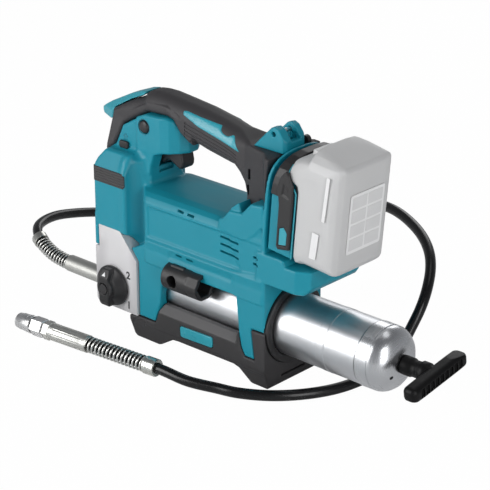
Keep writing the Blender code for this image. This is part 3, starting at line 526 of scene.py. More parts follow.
WIRE = turned_metal("spring_wire", colour=(0.72, 0.72, 0.69), rough=0.22, ring_size=2.0,
                    strength=0.1, vary=0.05, axis_scale=(1, 1, 1))
PACK = surface("pack_grey", colour=(0.57, 0.57, 0.57), rough=0.42, grain=0.12, blotch=0.03,
               edge=0.05)
LABEL = surface("pack_label_blank", colour=(0.68, 0.68, 0.68), rough=0.32, grain=0.04,
                grain_size=0.4, blotch=0.05)
LABEL_LIGHT = surface("pack_label_light", colour=(0.82, 0.82, 0.82), rough=0.3, grain=0.04,
                      grain_size=0.4, blotch=0.03)
BRASS = turned_metal("brass_valve", colour=(0.60, 0.43, 0.16), rough=0.3, ring_size=0.8,
                     strength=0.15)
TEAL_DEEP = surface("teal_shadow_mark", colour=(0.010, 0.15, 0.20), rough=0.42, grain=0.08,
                    blotch=0.04)
BLACK_DEEP = surface("black_moulded_deep", colour=(0.003, 0.003, 0.0032), rough=0.46, spec=0.2,
                     grain=0.15, blotch=0.1)
DIAL_CENTRE = surface("dial_centre_black", colour=(0.022, 0.021, 0.022), rough=0.36, grain=0.12,
                      grain_size=0.4, blotch=0.1)
PACK_LIGHT = surface("pack_button_pale", colour=(0.74, 0.74, 0.74), rough=0.36, grain=0.06,
                     blotch=0.04)
COPPER = turned_metal("copper_winding", colour=(0.58, 0.25, 0.10), rough=0.32, ring_size=0.9,
                      strength=0.3)
STEEL_DARK = turned_metal("hardened_steel", colour=(0.34, 0.34, 0.35), rough=0.34,
                          ring_size=0.9, strength=0.2)
SCREW = turned_metal("screw_steel", colour=(0.16, 0.16, 0.17), rough=0.38, ring_size=0.7,
                     strength=0.2)


# ------------------------------------------------------------------ finishing
def show(obj, name, finish, body, slot, *replaced, sharp=38.0, bend=None):
    """Name a finished piece, move it to the frame and put it on its body.

    replaced names the frame's pieces it stands in for, sharp is the least angle in degrees of a
    sharp edge (None for none), and bend, given as (body, body, start, end) for a piece between
    two, only keeps the piece off any body; its values are not used.
    """
    mesh = obj.data
    mesh.transform(Matrix.Translation(Vector((-FOOT_X * MM, 0, 0))))
    obj.name = name
    mesh.name = name
    finishes = finish if isinstance(finish, list) else [finish]
    kept = [polygon.material_index for polygon in mesh.polygons]
    mesh.materials.clear()
    for one in finishes:
        mesh.materials.append(one)
    for polygon, index in zip(mesh.polygons, kept):
        polygon.material_index = min(index, len(finishes) - 1)
    mesh.shade_smooth()
    if sharp:
        mesh.set_sharp_from_angle(angle=math.radians(sharp))
    if bend:
        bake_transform(obj)
    else:
        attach(obj, body)
    if replaced:
        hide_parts(*replaced)
    return obj


# ------------------------------------------------------------------ housing
# Slots through the sides: (front x, rear x, front z, rear z) of each middle line.
SLOTS = [(3, 26, 133.2, 132.2), (3, 26, 126.3, 125.3), (3, 26, 119.4, 118.4),
         (43, 50, 125.4, 125.1), (43, 50, 119.3, 119.0),
         (-48, -40.4, 143.4, 143.1), (-36, -27.4, 143.0, 142.7),
         (-49, -41.4, 101.4, 101.1), (-36, -28, 101.0, 100.7)]
SLOT_HALF = 1.05


def housing_body(grid):
    """The housing's outside, as one solid."""
    x, y, z, off = grid.axes()
    profile, plan, section = grid.profile, grid.plan, grid.section
    head = meet(
        profile([(-152, 103), (-152, 164.0), (-150.6, 168.6), (-144.4, 177.4), (-141.4, 178.6),
                 (-111.6, 178.6), (-111, 103)]),
        section([(0, 100), (40, 100), (40, 161), (31.8, 176.6), (28.4, 178.6), (0, 178.6)]), 2.6)
    strip = meet(meet(band(x, -152, -147.6), band(z, 84, 116), 1.0), off - 39.9, 1.0)
    throat = meet(
        plan([(-116, 0), (-116, 34), (-106, 27), (-98.5, 21), (-97.6, 0)]),
        profile([(-118, 104.0), (-98.6, 81), (-96.5, 81), (-97, 148), (-102, 164), (-104, 173),
                 (-118, 173)]), 2.5)
    main = meet(
        section([(0, 84), (39.5, 84), (38.2, 93.5), (37.0, 97), (39.3, 104.6), (36.4, 107.6),
                 (36.4, 137.6), (37.2, 139.2), (36.6, 142.2), (34.2, 146.0), (29.4, 148.6),
                 (22.0, 149.9), (12.0, 150.2), (0, 150.2)]),
        plan([(-100.5, 0), (-99.5, 26), (-88.5, 37.5), (-85.5, 41), (54.6, 41), (54.6, 0)]), 1.2)
    panel = meet(profile([(-85.6, 109), (-85.6, 137.0), (3, 137.8), (60, 137.8), (60, 109)]),
                 35.2 - off, 0.8)
    main = less(main, panel, 0.5)
    column = meet(
        profile([(-106.5, 91.2), (-97.5, 80.4), (-97.5, 26.8), (-77, 26.8), (-70.2, 46),
                 (-67, 70), (-65.4, 80), (-61.5, 86), (-58, 89), (-58, 103), (-86, 103),
                 (-94, 97.5)]), off - 38, 1.6)
    rear = meet(
        profile([(18, 106), (20, 90), (23.5, 84), (27, 50), (30, 36), (34.5, 28.5),
                 (45.5, 28.5), (41.6, 56.8), (57.5, 57.3), (57.5, 104), (50, 110)]),
        off - 38, 1.6)
    side = meet(
        profile([(3, 139.4), (14, 139.9), (22, 138.6), (31, 137.8), (37, 139.8), (44, 145),
                 (54.6, 156), (54.6, 175), (40, 173), (30, 162), (15, 160.5), (8, 152),
                 (3, 150)]), off - 37.6, 1.6)
    tower = meet(
        profile([(14, 128), (15, 160.8), (30, 161.2), (40, 172.6), (53.5, 174.8), (54.6, 104),
                 (30, 104)]), off - 36.4, 3.0)
    lug = meet(profile([(12, 150), (15.5, 162.8), (24, 169.5), (28.5, 160.0), (21, 153)]),
               band(off, 19, 35.2), 1.4)
    flange = meet(
        profile([(52.6, 128), (53.6, 150), (55.0, 168), (56.6, 184), (60.0, 206), (64.0, 226.6),
                 (66.6, 226.6), (63.0, 206), (59.6, 184), (58.0, 166), (56.8, 150),
                 (56.2, 128)]),
        section([(0, 90), (37.2, 90), (37.2, 198), (36.0, 205.6), (32.6, 212.2), (27.0, 217.2),
                 (19.0, 220.6), (9, 222.2), (0, 222.6)]), 0.6)
    shelf = meet(
        profile([(48, 104.8), (48, 132.6), (74, 132.4), (78.6, 131.6), (80.8, 126.6),
                 (105.2, 126.6), (105.2, 111.6), (99, 104.6)]),
        plan([(40, 0), (40, 38.4), (92, 38.4), (106, 31.5), (101.5, 0)]), 1.2)
    neck = meet(
        profile([(-149, 164), (-142.6, 178), (-132, 200), (-103, 216.8), (-79, 218.2),
                 (-72, 216.2), (-64, 206), (-54, 199.8), (-54, 186.5), (-66, 185), (-84, 183),
                 (-92, 179.5), (-96, 168), (-97, 150), (-130, 150)]),
        plan([(-152, 0), (-152, 20.4), (-84, 20.4), (-76, 17.6), (-68, 12.0), (-62.0, 5.5),
              (-61.6, 0)]), 2.0)
    cheek = meet(
        profile([(-113.5, 166), (-113.5, 212), (-103, 216.4), (-79, 217.8), (-72, 215.6),
                 (-64, 205.6), (-56, 200.2), (-56, 186.8), (-66, 185.3), (-84, 183.4),
                 (-92, 180), (-96, 168), (-97, 160)]),
        plan([(-113.5, 0), (-113.5, 21.8), (-84, 21.8), (-75, 18.6), (-67, 12.6),
              (-61.6, 5.5), (-61.2, 0)]), 1.8)
    shape = head
    for part, fillet in ((throat, 9.0), (strip, 0.4), (merge(neck, cheek, 0.6), 6.0),
                         (main, 5.0), (column, 2.0), (rear, 2.0),
                         (merge(side, tower, 1.5), 1.2), (lug, 0.8), (flange, 1.0), (shelf, 2.0)):
        shape = merge(shape, part, fillet)
    return shape


def housing_hollow(grid):
    """The space inside the housing, with the barrel's bore and the trigger's opening."""
    x, y, z, off = grid.axes()
    profile, plan, section = grid.profile, grid.plan, grid.section
    radial = np.hypot(y, z - AXIS_Z)
    return reduce(np.minimum, (
        meet(section([(0, 93), (31.5, 93), (31.5, 137), (25, 144.4), (0, 144.4)]),
             plan([(-103, 0), (-102, 19), (-98, 21), (-87, 31.8), (49, 31.8), (49, 0)])),
        meet(plan([(-115, 0), (-114, 27), (-107, 24), (-101.6, 19), (-101.6, 0)]),
             band(z, 97, 157)),
        meet(section([(0, 103), (34, 103), (34, 156), (22, 170), (0, 170)]),
             band(x, -143, -113)),
        meet(meet(band(x, 20, 49), band(z, 106, 156)), off - 31),
        meet(profile([(-136, 164), (-130, 195), (-103, 212), (-86, 213.3), (-80, 211.5),
                      (-79, 202), (-79, 190.5), (-97, 190.5), (-97, 164)]), off - 15),
        meet(radial - BORE_R, band(x, -112, 68)),
        meet(radial - RING_RECESS_R, band(x, 54.7, 67)),
        meet(meet(band(x, -100.5, -66.4), band(z, 160, 199)), off - 9.0),
    ))


def housing_shell():
    grid = Block((-157, -43, 21), (111, 43, 231), 0.9)
    shape = less(housing_body(grid), housing_hollow(grid), 0.6)
    shape = less(shape, np.hypot(grid.x - BUTTON_X, grid.z - BUTTON_Z) - 6.5, 0.5)
    housing = skin(grid, shape, most=88000)
    slots = [prism("XZ", [(x0, z0 - SLOT_HALF), (x1, z1 - SLOT_HALF), (x1, z1 + SLOT_HALF),
                          (x0, z0 + SLOT_HALF)], -45, 45, 0.4) for x0, x1, z0, z1 in SLOTS]
    show(cut(housing, join(*slots)), "housing_shell", TEAL, "housing", "teal_plastic",
         "housing_left", "housing_right", sharp=50)


def lock_arrows():
    """An arrow above the lock slide, on each side of the neck."""
    points = [(-129.6, 185.4), (-129.6, 189.8), (-131.2, 189.8), (-128.0, 193.0),
              (-124.8, 189.8), (-126.4, 189.8), (-126.4, 185.4), (-127.0, 185.4),
              (-127.0, 190.4), (-126.3, 190.4), (-128.0, 192.1), (-129.7, 190.4),
              (-129.0, 190.4), (-129.0, 185.4)]
    arrows = [prism("XZ", points, low, high) for low, high in ((-20.55, -20.2), (20.2, 20.55))]
    show(join(*arrows), "lock_arrow_mark", TEAL_DEEP, "housing", "teal_plastic")


# ------------------------------------------------------------------ pump head
CASTING_HALF = 40   # half the casting's width
DIGIT_X = -109.0
DIGIT_SIZE = 10.0


def digit(character, z):
    """A raised figure on the casting's -y face."""
    data = bpy.data.curves.new("digit", "FONT")
    data.body = character
    data.size = DIGIT_SIZE * MM
    data.align_x, data.align_y = "CENTER", "CENTER"
    data.extrude = 0.2 * MM
    data.offset = 0.26 * MM
    text = link(data)
    mesh = evaluated_mesh(text)
    bpy.data.objects.remove(text, do_unlink=True)
    mesh.transform(Matrix.Translation(Vector((DIGIT_X, -CASTING_HALF - 0.05, z)) * MM)
                   @ Matrix.Rotation(math.pi / 2, 4, "X"))
    return link(mesh)


def pump_head():
    plate = prism("XZ", [(-151.8, 29.4), (-148.8, 26.2), (-98.2, 26.2), (-98.2, 80.2),
                         (-119.2, 105.2), (-146.9, 105.2), (-146.9, 83.2), (-151.8, 83.2)],
                  -CASTING_HALF, CASTING_HALF, [2, 2.5, 0.6, 2, 2, 0.5, 0.5, 1.5],
                  edge=1.5, segments=4)
    show(plate, "pump_head_casting", CAST, "housing", "cast_aluminium", "pump_head", sharp=40)
    show(join(digit("2", 63.5), digit("1", 33.6)), "dial_numbers", MARK, "housing",
         "black_plastic")
    relief = lathe("Y", (DIAL_X, 40.2, DIAL_Z),
                   [(0, 8.2), (4.2, 8.2), (5.8, 7.6), (6.6, 6.6), (6.8, 0.2), (0, 0.2)], 6)
    show(relief, "relief_valve_hex", BRASS, "housing", "brass", "relief_valve", sharp=25)


# ------------------------------------------------------------------ selector dial
POINTER_Y, POINTER_Z = -52.3, 63.2   # where the pointer tilts to follow the bar's end
POINTER_TILT = -0.555                # radians


def selector_dial():
    grid = Block((-150, -57, 27), (-107, -39, 71), 0.4)
    radial = np.hypot(grid.x - DIAL_X, grid.z - DIAL_Z)
    depth = -40.6 - grid.y
    cone_radius = np.interp(depth, [0, 2.6, 3.4, 9.5], [19.6, 19.4, 18.6, 11.0])
    cone = meet(radial - cone_radius.astype(np.float32), band(depth, 0, 9.0), 0.9)
    bar = meet(
        grid.profile([(-133.6, 31.6), (-134.6, 34), (-135.2, 49), (-134.2, 63.5),
                      (-132.2, 67.6), (-124.8, 67.6), (-122.8, 63.5), (-121.8, 49),
                      (-122.4, 34), (-123.4, 31.6)]), band(depth, 0.5, 13.6), 1.6)
    sloped_ends = (depth - 13.6 + np.maximum(grid.z - 60.0, 0) * 0.62
                   + np.maximum(36.5 - grid.z, 0) * 0.5) * 0.85
    bar = meet(bar, sloped_ends, 0.6)
    knob = merge(cone, bar, 1.2)
    knob = merge(knob, meet(radial - 9.6, band(depth, 3, 12.4), 1.0), 0.8)
    knob = less(knob, meet(radial - 5.6, 11.0 - depth), 0.4)
    show(skin(grid, knob, most=50000), "selector_dial", BLACK, "dial", "black_plastic",
         "speed_dial", sharp=60)

    pointer = prism("XZ", [(-130.7, 61.4), (-126.3, 61.4), (DIAL_X, 65.4)], -0.12, 0.12, 0.25)
    pointer.data.transform(Matrix.Translation(Vector((0, POINTER_Y, 0)) * MM)
                           @ Matrix.Translation(Vector((0, 0, POINTER_Z)) * MM)
                           @ Matrix.Rotation(POINTER_TILT, 4, "X")
                           @ Matrix.Translation(Vector((0, 0, -POINTER_Z)) * MM))
    show(pointer, "dial_pointer", WHITE, "dial", "pack_plastic")
    centre = lathe("Y", (DIAL_X, -52.7, DIAL_Z),
                   [(0, 0.8), (1.5, 0.8), (1.5, 2.0), (3.9, 2.0), (4.6, 1.5), (4.9, 0.4),
                    (4.9, -1.6), (0, -1.6)], 40)
    show(centre, "dial_centre", DIAL_CENTRE, "dial", "black_plastic", "dial_screw", sharp=30)
    line = lathe("Y", (DIAL_X, -52.5, DIAL_Z), [(7.9, 0.0), (8.2, 0.0), (8.2, 0.4), (7.9, 0.4)],
                 48)
    show(line, "dial_rim_line", BUMPER_TOP, "dial", "black_plastic")


# ------------------------------------------------------------------ handle grip
# Side views, (x, z).
GRIP_LINE = [(-155, 171.6), (-152.0, 190), (-150.0, 203), (-148.4, 211), (-127.7, 222.6),
             (-112.5, 229.6), (-111.6, 232.4), (-106.5, 235.2), (-99, 236.2), (-88, 236.4),
             (-68, 234.6), (-42, 232.0), (-16, 227.6), (4, 222.4), (17, 218.4), (26, 217.4),
             (44, 217.2), (52, 217.2), (57.4, 216), (53.6, 190), (52.0, 175.4), (39.8, 173.2),
             (29.4, 161.9), (16.2, 161.5), (16.8, 172), (13, 180), (6, 185.6), (-2, 189.4),
             (-15, 191.6), (-34, 195), (-44, 197.4), (-53, 200.1), (-64.0, 206.9),
             (-72.0, 216.9), (-79, 218.9), (-103.3, 217.5), (-132.6, 200.7), (-142.9, 178.0),
             (-149.8, 171.6)]
INSERT = [(-60, 228.6), (-55, 228.8), (-38, 226.8), (-16, 224.6), (-14.4, 220.8),
          (-12.5, 219.4), (-8.0, 217.8), (-6.0, 217.6), (-1.2, 219.4), (0.6, 218.6),
          (9.4, 207.0), (-12, 212.6), (-39, 218.6), (-59, 225.4)]
GROOVE_ROWS = 6
GROOVE_STEPS = 24


def grip_field(grid):
    x, y, z, off = grid.axes()
    wide = np.interp(x, [-152, -128, 10, 16, 30, 44, 52, 58],
                     [0, 0, 0, 0.4, 4, 7.5, 15.5, 17.5]).astype(np.float32) + 17.4
    wide = wide + np.clip((206 - z) / 27 * 4.4, 0, 4.6) * (x < -128)
    radius = np.interp(x, [-150, -135, -115, 0, 14, 24],
                       [4.5, 6, 14, 15, 7, 2.0]).astype(np.float32)
    radius = np.where((z < 212) & (x < -126), 4.5, radius)
    inner = np.interp(x, [-135, -130, -103, -79, -64, -53, -46],
                      [208, 211, 225, 227, 220, 217, 216]).astype(np.float32)
    radius = np.where(x < -48, 4.5 + (radius - 4.5) * np.clip((z - inner) / 4 + 0.5, 0, 1), radius)
    grip = meet(grid.profile(GRIP_LINE), off - wide, radius)
    rear_slots = np.minimum(
        grid.profile([(21.0, 195.5), (24.2, 196.2), (24.2, 186.6), (21.0, 186.2)]),
        grid.profile([(19.0, 180.6), (22.2, 181.2), (22.2, 171.6), (19.0, 171.2)]))
    return less(grip, meet(rear_slots, 13.0 - off), 0.4)


def side_reach(grid, field, x, z):
    """How far a sampled shape's side stands from the middle plane at (x, z)."""
    i = int(round((x - float(grid.low[0])) / grid.step))
    j = int(round((z - float(grid.low[2])) / grid.step))
    line = field[i, :, j]
    first = int(np.argmax(line < 0))
    outer, inner = float(line[first - 1]), float(line[first])
    return abs(float(grid.low[1]) + (first - 1 + outer / (outer - inner)) * grid.step)


def groove_cutters(grid, field):
    """Tubes along the grip's sides that cut its grooves."""
    cutters = []
    for row in range(GROOVE_ROWS):
        share = row / (GROOVE_ROWS - 1)
        points = []
        for step in range(GROOVE_STEPS + 1):
            t = step / GROOVE_STEPS
            x = -57.5 + share + (63.5 - share) * t
            lower = np.interp(x, [-58, -43, -34, -15, -2, 6],
                              [202.5, 198.6, 197.4, 194.2, 192.0, 189.6])
            upper = np.interp(x, [-58, -39, -15, 0, 6], [219.0, 215.6, 210.6, 206.4, 203.6])
            z = lower + (upper - lower) * share
            points.append((x, side_reach(grid, field, x, z), z))
        for side in (-1, 1):
            cutters.append(tube([(x, side * (y + 0.15), z) for x, y, z in points], 1.0, 8))
    return cutters


def handle_grip():
    grid = Block((-158, -37, 158), (61, 37, 240), 0.7)
    grip = grip_field(grid)
    overmould = skin(grid, grip, most=90000)
    show(cut(overmould, *groove_cutters(grid, grip)), "grip_overmould", GRIP, "housing",
         "black_rubber", "handle_grip", sharp=50)
    inserts = meet(grid.profile(INSERT), np.maximum(grip - 0.45, -grip - 1.6), 0.35)
    inserts = np.maximum(inserts, 9 - grid.off)
    show(skin(grid, inserts, most=30000), "grip_inserts", TEAL_SOFT, "housing", "teal_plastic",
         "grip_insert_left", "grip_insert_right", sharp=60)


def nose_cap():
    grid = Block((-179, -17, 195), (-104, 17, 238), 0.55)
    nose = meet(
        grid.profile([(-173.6, 204.8), (-173.0, 200.8), (-171.2, 198.8), (-156, 198.8),
                      (-150.6, 200.6), (-148.9, 211.8), (-128.2, 223.6), (-112.6, 230.6),
                      (-111.9, 233.4), (-118, 232.6), (-134, 226.4), (-159, 213.8)]),
        grid.plan([(-175.0, 0), (-174.4, 4.8), (-152, 14.6), (-108, 15.6), (-106, 0)]), 1.6)
    top_line = 213.6 + (grid.x + 160) * 0.49
    nose = meet(nose, (grid.off - 10.5 + (grid.z - top_line) * 0.9 + 4.0) * 0.74, 1.0)
    show(skin(grid, nose, most=40000), "nose_piece", TEAL_SOFT, "housing", "teal_plastic",
         "nose_cap", sharp=50)


# ------------------------------------------------------------------ trigger and locks
def trigger():
    grid = Block((-102, -11, 164), (-53, 11, 198), 0.5)
    lever = meet(
        grid.profile([(-98.6, 187), (-98.8, 173), (-97.5, 170.6), (-94.6, 169.4),
                      (-91.4, 170.6), (-88.5, 173.6), (-84, 173.6), (-78, 170.4),
                      (-73.6, 168.2), (-70.4, 168.8), (-68.6, 171.4), (-68.2, 175.4),
                      (-70.0, 184), (-71.8, 189), (-76, 193), (-92, 191)]),
        grid.off - 8.2, 2.4)
    show(skin(grid, lever, most=30000), "trigger_lever", BLACK, "trigger", "black_plastic",
         "trigger", sharp=60)


def locks():
    """The push button through the neck, its rims, and the slide on the -y side."""
    button = lathe("Y", (BUTTON_X, 0, BUTTON_Z),
                   [(0, 23.2), (3.8, 23.1), (5.2, 22.6), (5.9, 21.6), (5.9, -21.6),
                    (5.2, -22.6), (3.8, -23.1), (0, -23.2)], 56)
    show(button, "lock_push_button", BLACK, "lock_button", "black_plastic", "lock_button",
         sharp=40)
    rim = both(lathe("Y", (BUTTON_X, -21.9, BUTTON_Z),
                     [(6.9, 0.0), (7.5, 0.0), (7.5, 0.28), (6.9, 0.28)], 64))
    show(rim, "button_rim", TEAL_DEEP, "housing", "teal_plastic")
    grid = Block((-137, -26, 176), (-121, -16, 190), 0.3)
    slide = meet(
        grid.profile([(-134.4, 180.2), (-133.0, 178.8), (-124.8, 178.8), (-123.4, 180.2),
                      (-123.4, 184.6), (-124.8, 186), (-133.0, 186), (-134.4, 184.6)]),
        band(grid.y, -23.6, -20.6), 1.2)
    show(skin(grid, slide, most=20000), "lock_slide", BLACK, "lock_slider", "black_plastic",
         "lock_slider", sharp=60)


# ------------------------------------------------------------------ bumpers
def front_bumper():
    """A ribbed loop round the front of the head."""
    grid = Block((-157, -44, 144), (-108, 44, 164), 0.5)
    x, y, z, off = grid.axes()
    loop = meet(
        np.maximum(
            grid.plan([(-111, 0), (-111, 40.7), (-150.4, 40.7), (-152.8, 38.3), (-152.8, 0)]),
            -grid.plan([(-100, 0), (-100, 39.2), (-151.3, 39.2), (-151.3, 0)])),
        grid.profile([(-160, 147.4), (-113.4, 147.4), (-111.2, 149.6), (-111.2, 159.0),
                      (-114.4, 162.0), (-160, 162.0)]), 0.7)
    ribs = np.abs(np.mod(z - 147.4, 2.45) - 1.225)
    loop = less(loop, meet(ribs - 0.45, np.minimum(40.2 - off, x + 152.3)), 0.1)
    show(skin(grid, loop, most=60000), "front_bumper_pad", BUMPER, "housing", "black_rubber",
         "front_bumper", sharp=60)


BASE_HALF = 38.7      # half the base's width above its sloping foot
FOOT_HALF = 31        # half its width near the floor
FOOT_GROOVE = 0.9     # depth of the grooves in the feet
# Grooves in the feet: (count, first bottom z, first top z, pitch, front x, rear x).
FOOT_GROOVES = [(3, 3.2, 4.1, 2.6, -113, -92), (7, 2.6, 3.4, 2.3, 33, 57.0)]


def base_bumper():
    grid = Block((-113, -42, -2), (62, 42, 60), 0.75)
    x, y, z, off = grid.axes()
    base = meet(
        grid.profile([(-110, 3), (-107.6, 0), (-79.4, 0), (-76, 1.4), (-57, 13.4),
                      (-50, 14.4), (20, 15.6), (26, 13.4), (35.4, 1.0), (37.6, 0), (55, 0),
                      (58.2, 3), (58.2, 56.6), (42.3, 56.2), (46.2, 28), (34.2, 28),
                      (29.5, 35.8), (26.6, 49.6), (24, 44.8), (-69.4, 45.2), (-76.4, 26.2),
                      (-98, 25.6), (-110, 24)]),
        grid.section([(0, -1), (FOOT_HALF, -1), (BASE_HALF, 20), (BASE_HALF, 60), (0, 60)]),
        1.3)
    bevel = (off - BASE_HALF + (z - 37.8) * 0.85) * 0.76
    base = np.maximum(base, np.where((x > -74) & (x < 25), bevel, -9))
    radial = np.hypot(y, z - AXIS_Z)
    base = less(base, meet(radial - BORE_R, band(x, -130, 80)), 0.5)
    base = less(base, meet(radial - RING_RECESS_R, band(x, 54.6, 70)), 0.3)
    base = less(base, meet(meet(band(x, 52, 70), band(z, 8.4, 10.2)), off - 16), 0.2)
    front_facet = meet(
        grid.profile([(-112, 9), (-104, 21.5), (-99, 23.4), (-88, 23), (-93, 13.5),
                      (-99, 8.6)]), 37.6 - off, 0.2)
    base = less(base, front_facet, 0.4)
    beyond = grid.section([(20, -5), (FOOT_HALF + FOOT_GROOVE, -5),
                           (BASE_HALF - FOOT_GROOVE, 20), (60, 20), (60, -5)])
    for count, bottom, top, pitch, x_low, x_high in FOOT_GROOVES:
        for n in range(count):
            rib = band(z, bottom + n * pitch, top + n * pitch)
            base = less(base, meet(meet(rib, band(x, x_low, x_high)), beyond), 0.1)
    bumper = skin(grid, base, most=90000)
    recesses = both(prism("XZ", [(-45, 33.8), (-3, 35.2), (-3, 23.2), (-44, 21.8)],
                          -45, -37.9, 2.5))
    bumper = cut(bumper, recesses)
    # The bevels along the top of the sides face up and take the paler rubber colour as painted
    # sheen.
    for polygon in bumper.data.polygons:
        at = polygon.center / MM
        if -72 < at.x < 23 and at.z > 37.2 and polygon.normal.z > 0.35 and abs(at.y) > 20:
            polygon.material_index = 1
    show(bumper, "base_bumper_skin", [BUMPER, BUMPER_TOP], "housing", "black_rubber",
         "base_bumper", sharp=50)
    insets = both(prism("XZ", [(-44.2, 33.0), (-3.8, 34.3), (-3.8, 24.0), (-43.2, 22.6)],
                        -39.3, -37.6, 2.2, edge=0.5))
    show(insets, "base_insets", TEAL_SOFT, "housing", "teal_plastic",
         "base_inset_left", "base_inset_right")


# ------------------------------------------------------------------ barrel and its handle
# Turned profiles: (radius, distance along +x).
BARREL_PROFILE = [(29.0, 0), (29.0, 217), (29.25, 217.4), (29.25, 225.4), (29.0, 225.8),
                  (29.0, 259), (27.5, 259), (27.5, 0)]
CAP_PROFILE = [(4.6, 31.2), (9, 31.2), (12, 30.8), (16.4, 29.6), (20.6, 27.6), (24.4, 24.6),
               (27.0, 21.2), (28.6, 17.8), (29.3, 15.2), (29.3, 14.6), (28.7, 14.2),
               (28.7, 13.2), (29.4, 12.8), (29.5, 1.2), (29.1, 0.4), (27.0, 0.4), (26.9, -8),
               (25.2, -8), (25.2, 13.5), (22, 21), (15, 27), (4.6, 29)]
STEM_PROFILE = [(0, 30), (7.4, 30), (7.8, 26), (9.2, 24.6), (9.2, 18.6), (7.6, 17), (7.4, 9.5),
                (8.4, 8.6), (8.4, 0.4), (7.6, 0), (4.4, 0), (4.4, 14.2), (0, 14.2)]
HANDLE_TURN = math.radians(9)   # the cross bar's turn about the barrel's axis


def barrel():
    ring = lathe("X", on_axis(55.2), [(36.6, 4.4), (35.8, 5.3), (31.0, 5.5), (29.9, 4.8),
                                      (29.8, 0.0), (36.6, 0.0)], 128)
    show(ring, "barrel_ring_seal", BLACK, "housing", "black_plastic", "barrel_ring", sharp=40)
    show(lathe("X", on_axis(-109), BARREL_PROFILE, 160), "barrel_body", BARREL, "barrel",
         "barrel_steel", "barrel_tube", sharp=20)
    cap = lathe("X", on_axis(150), CAP_PROFILE, 160)
    cap = cut(cap, rod("X", (176, -14, 47.5), 1.7, 18, 16))
    show(cap, "barrel_cap", CAP, "barrel", "barrel_steel", "barrel_end_cap", sharp=24)


def t_handle():
    stem = lathe("X", on_axis(182.2), STEM_PROFILE, 40)
    grid = Block((204, -40, 46), (226, 40, 66), 0.45)
    x, y, z, off = grid.axes()
    cos, sin = math.cos(HANDLE_TURN), math.sin(HANDLE_TURN)
    turned_z = (z - AXIS_Z) * cos - y * sin
    turned_y = y * cos + (z - AXIS_Z) * sin
    half_height = np.abs(turned_z) - 7.4 + np.maximum(np.abs(turned_y) - 22, 0) * 0.03
    bar = meet(meet(band(x, 207.2, 221.8), half_height, 5.2),
               np.hypot(turned_y, (x - 214.5) * 0.9) - 37.0, 5.0)
    pockets = np.maximum(
        np.maximum(np.abs(np.mod(turned_y + 3.2, 6.4) - 3.2) - 2.4, np.abs(turned_z) - 3.9),
        np.maximum(np.abs(turned_y) - 28.4, 219.8 - x))
    bar = less(bar, pockets, 0.3)
    show(join(stem, skin(grid, bar, most=60000)), "t_handle_grip", BLACK_DEEP, "rod",
         "black_plastic", "t_handle", sharp=50)


# ------------------------------------------------------------------ coupler holder, strap eye
def coupler_holder():
    grid = Block((-62, -53, 62), (-6, -20, 96), 0.45)
    x, y, z, off = grid.axes()
    from_y, from_z = y + 36.5, z - 79.2
    hexagon = np.maximum(np.maximum(np.abs(from_z), np.abs(from_z * 0.5 + from_y * 0.866)),
                         np.abs(from_z * 0.5 - from_y * 0.866))
    radial = np.hypot(from_y, from_z)
    holder = meet(np.maximum(radial - 12.9, hexagon - 12.3 - np.clip((-27 - x) * 0.3, 0, 3)),
                  band(x, -58, -14.6), 0.8)
    holder = np.minimum(holder, meet(meet(band(x, -52, -36), band(z, 86, 92.6), 0.8),
                                     band(y, -42, -30), 0.8))
    holder = less(holder, meet(hexagon - 8.3, band(x, -29, 0)), 0.8)
    holder = less(holder, np.hypot(x + 44.5, from_z) - 5.6, 0.7)
    show(skin(grid, holder, most=60000), "coupler_holder_block", BLACK, "housing",
         "black_plastic", "coupler_holder", sharp=60)
    bracket = prism("XZ", [(-24, 95), (-24, 88.5), (-12, 87.5), (-6, 84), (2, 88), (6, 95)],
                    -37.5, -27, 1.2, edge=0.8)
    show(bracket, "holder_bracket", TEAL, "housing", "teal_plastic")


def strap_eye():
    pin_x, pin_z = 47.5, 232.5
    grid = Block((24, -20, 214), (66, 22, 242), 0.5)
    x, y, z, off = grid.axes()
    eye = meet(
        grid.profile([(24.2, 217.0), (38.5, 231.6), (44.5, 237.6), (49.0, 239.0),
                      (53.2, 237.2), (60.8, 227.4), (62.0, 217.0)]),
        outline([(24.2, -16.4), (58, -16.4), (61.4, -13), (61.4, 8), (58, 11.0), (33, 11.0),
                 (27, 6)], x, y), 1.5)
    eye = less(eye, meet(band(y, -7.4, 4.2), 226.5 - z), 1.2)
    eye = less(eye, meet(meet(band(x, 49.5, 54.5), band(z, 218, 231)), off - 5.2), 0.3)
    eye = less(eye, np.hypot(x - pin_x, z - pin_z) - 2.3)
    show(skin(grid, eye, most=50000), "strap_lugs", TEAL, "housing", "teal_plastic",
         "strap_eye", sharp=50)
    pin = lathe("Y", (pin_x, -1.5, pin_z),
                [(0, 11.5), (1.5, 11.5), (1.85, 11.35), (2.0, 11.0), (2.0, -11.0),
                 (1.85, -11.35), (1.5, -11.5), (0, -11.5)], 48 - 16)
    show(pin, "strap_eye_pin", ZINC_BRIGHT, "housing", "zinc_steel", "strap_pin", sharp=40)
    stop = lathe("Y", (57.5, 14.4, 222.5), [(0, 3), (3.4, 3), (4.2, 2.2), (4.2, -2), (0, -2)],
                 24)
    show(stop, "strap_pin_stop", BLACK, "housing", "black_plastic")


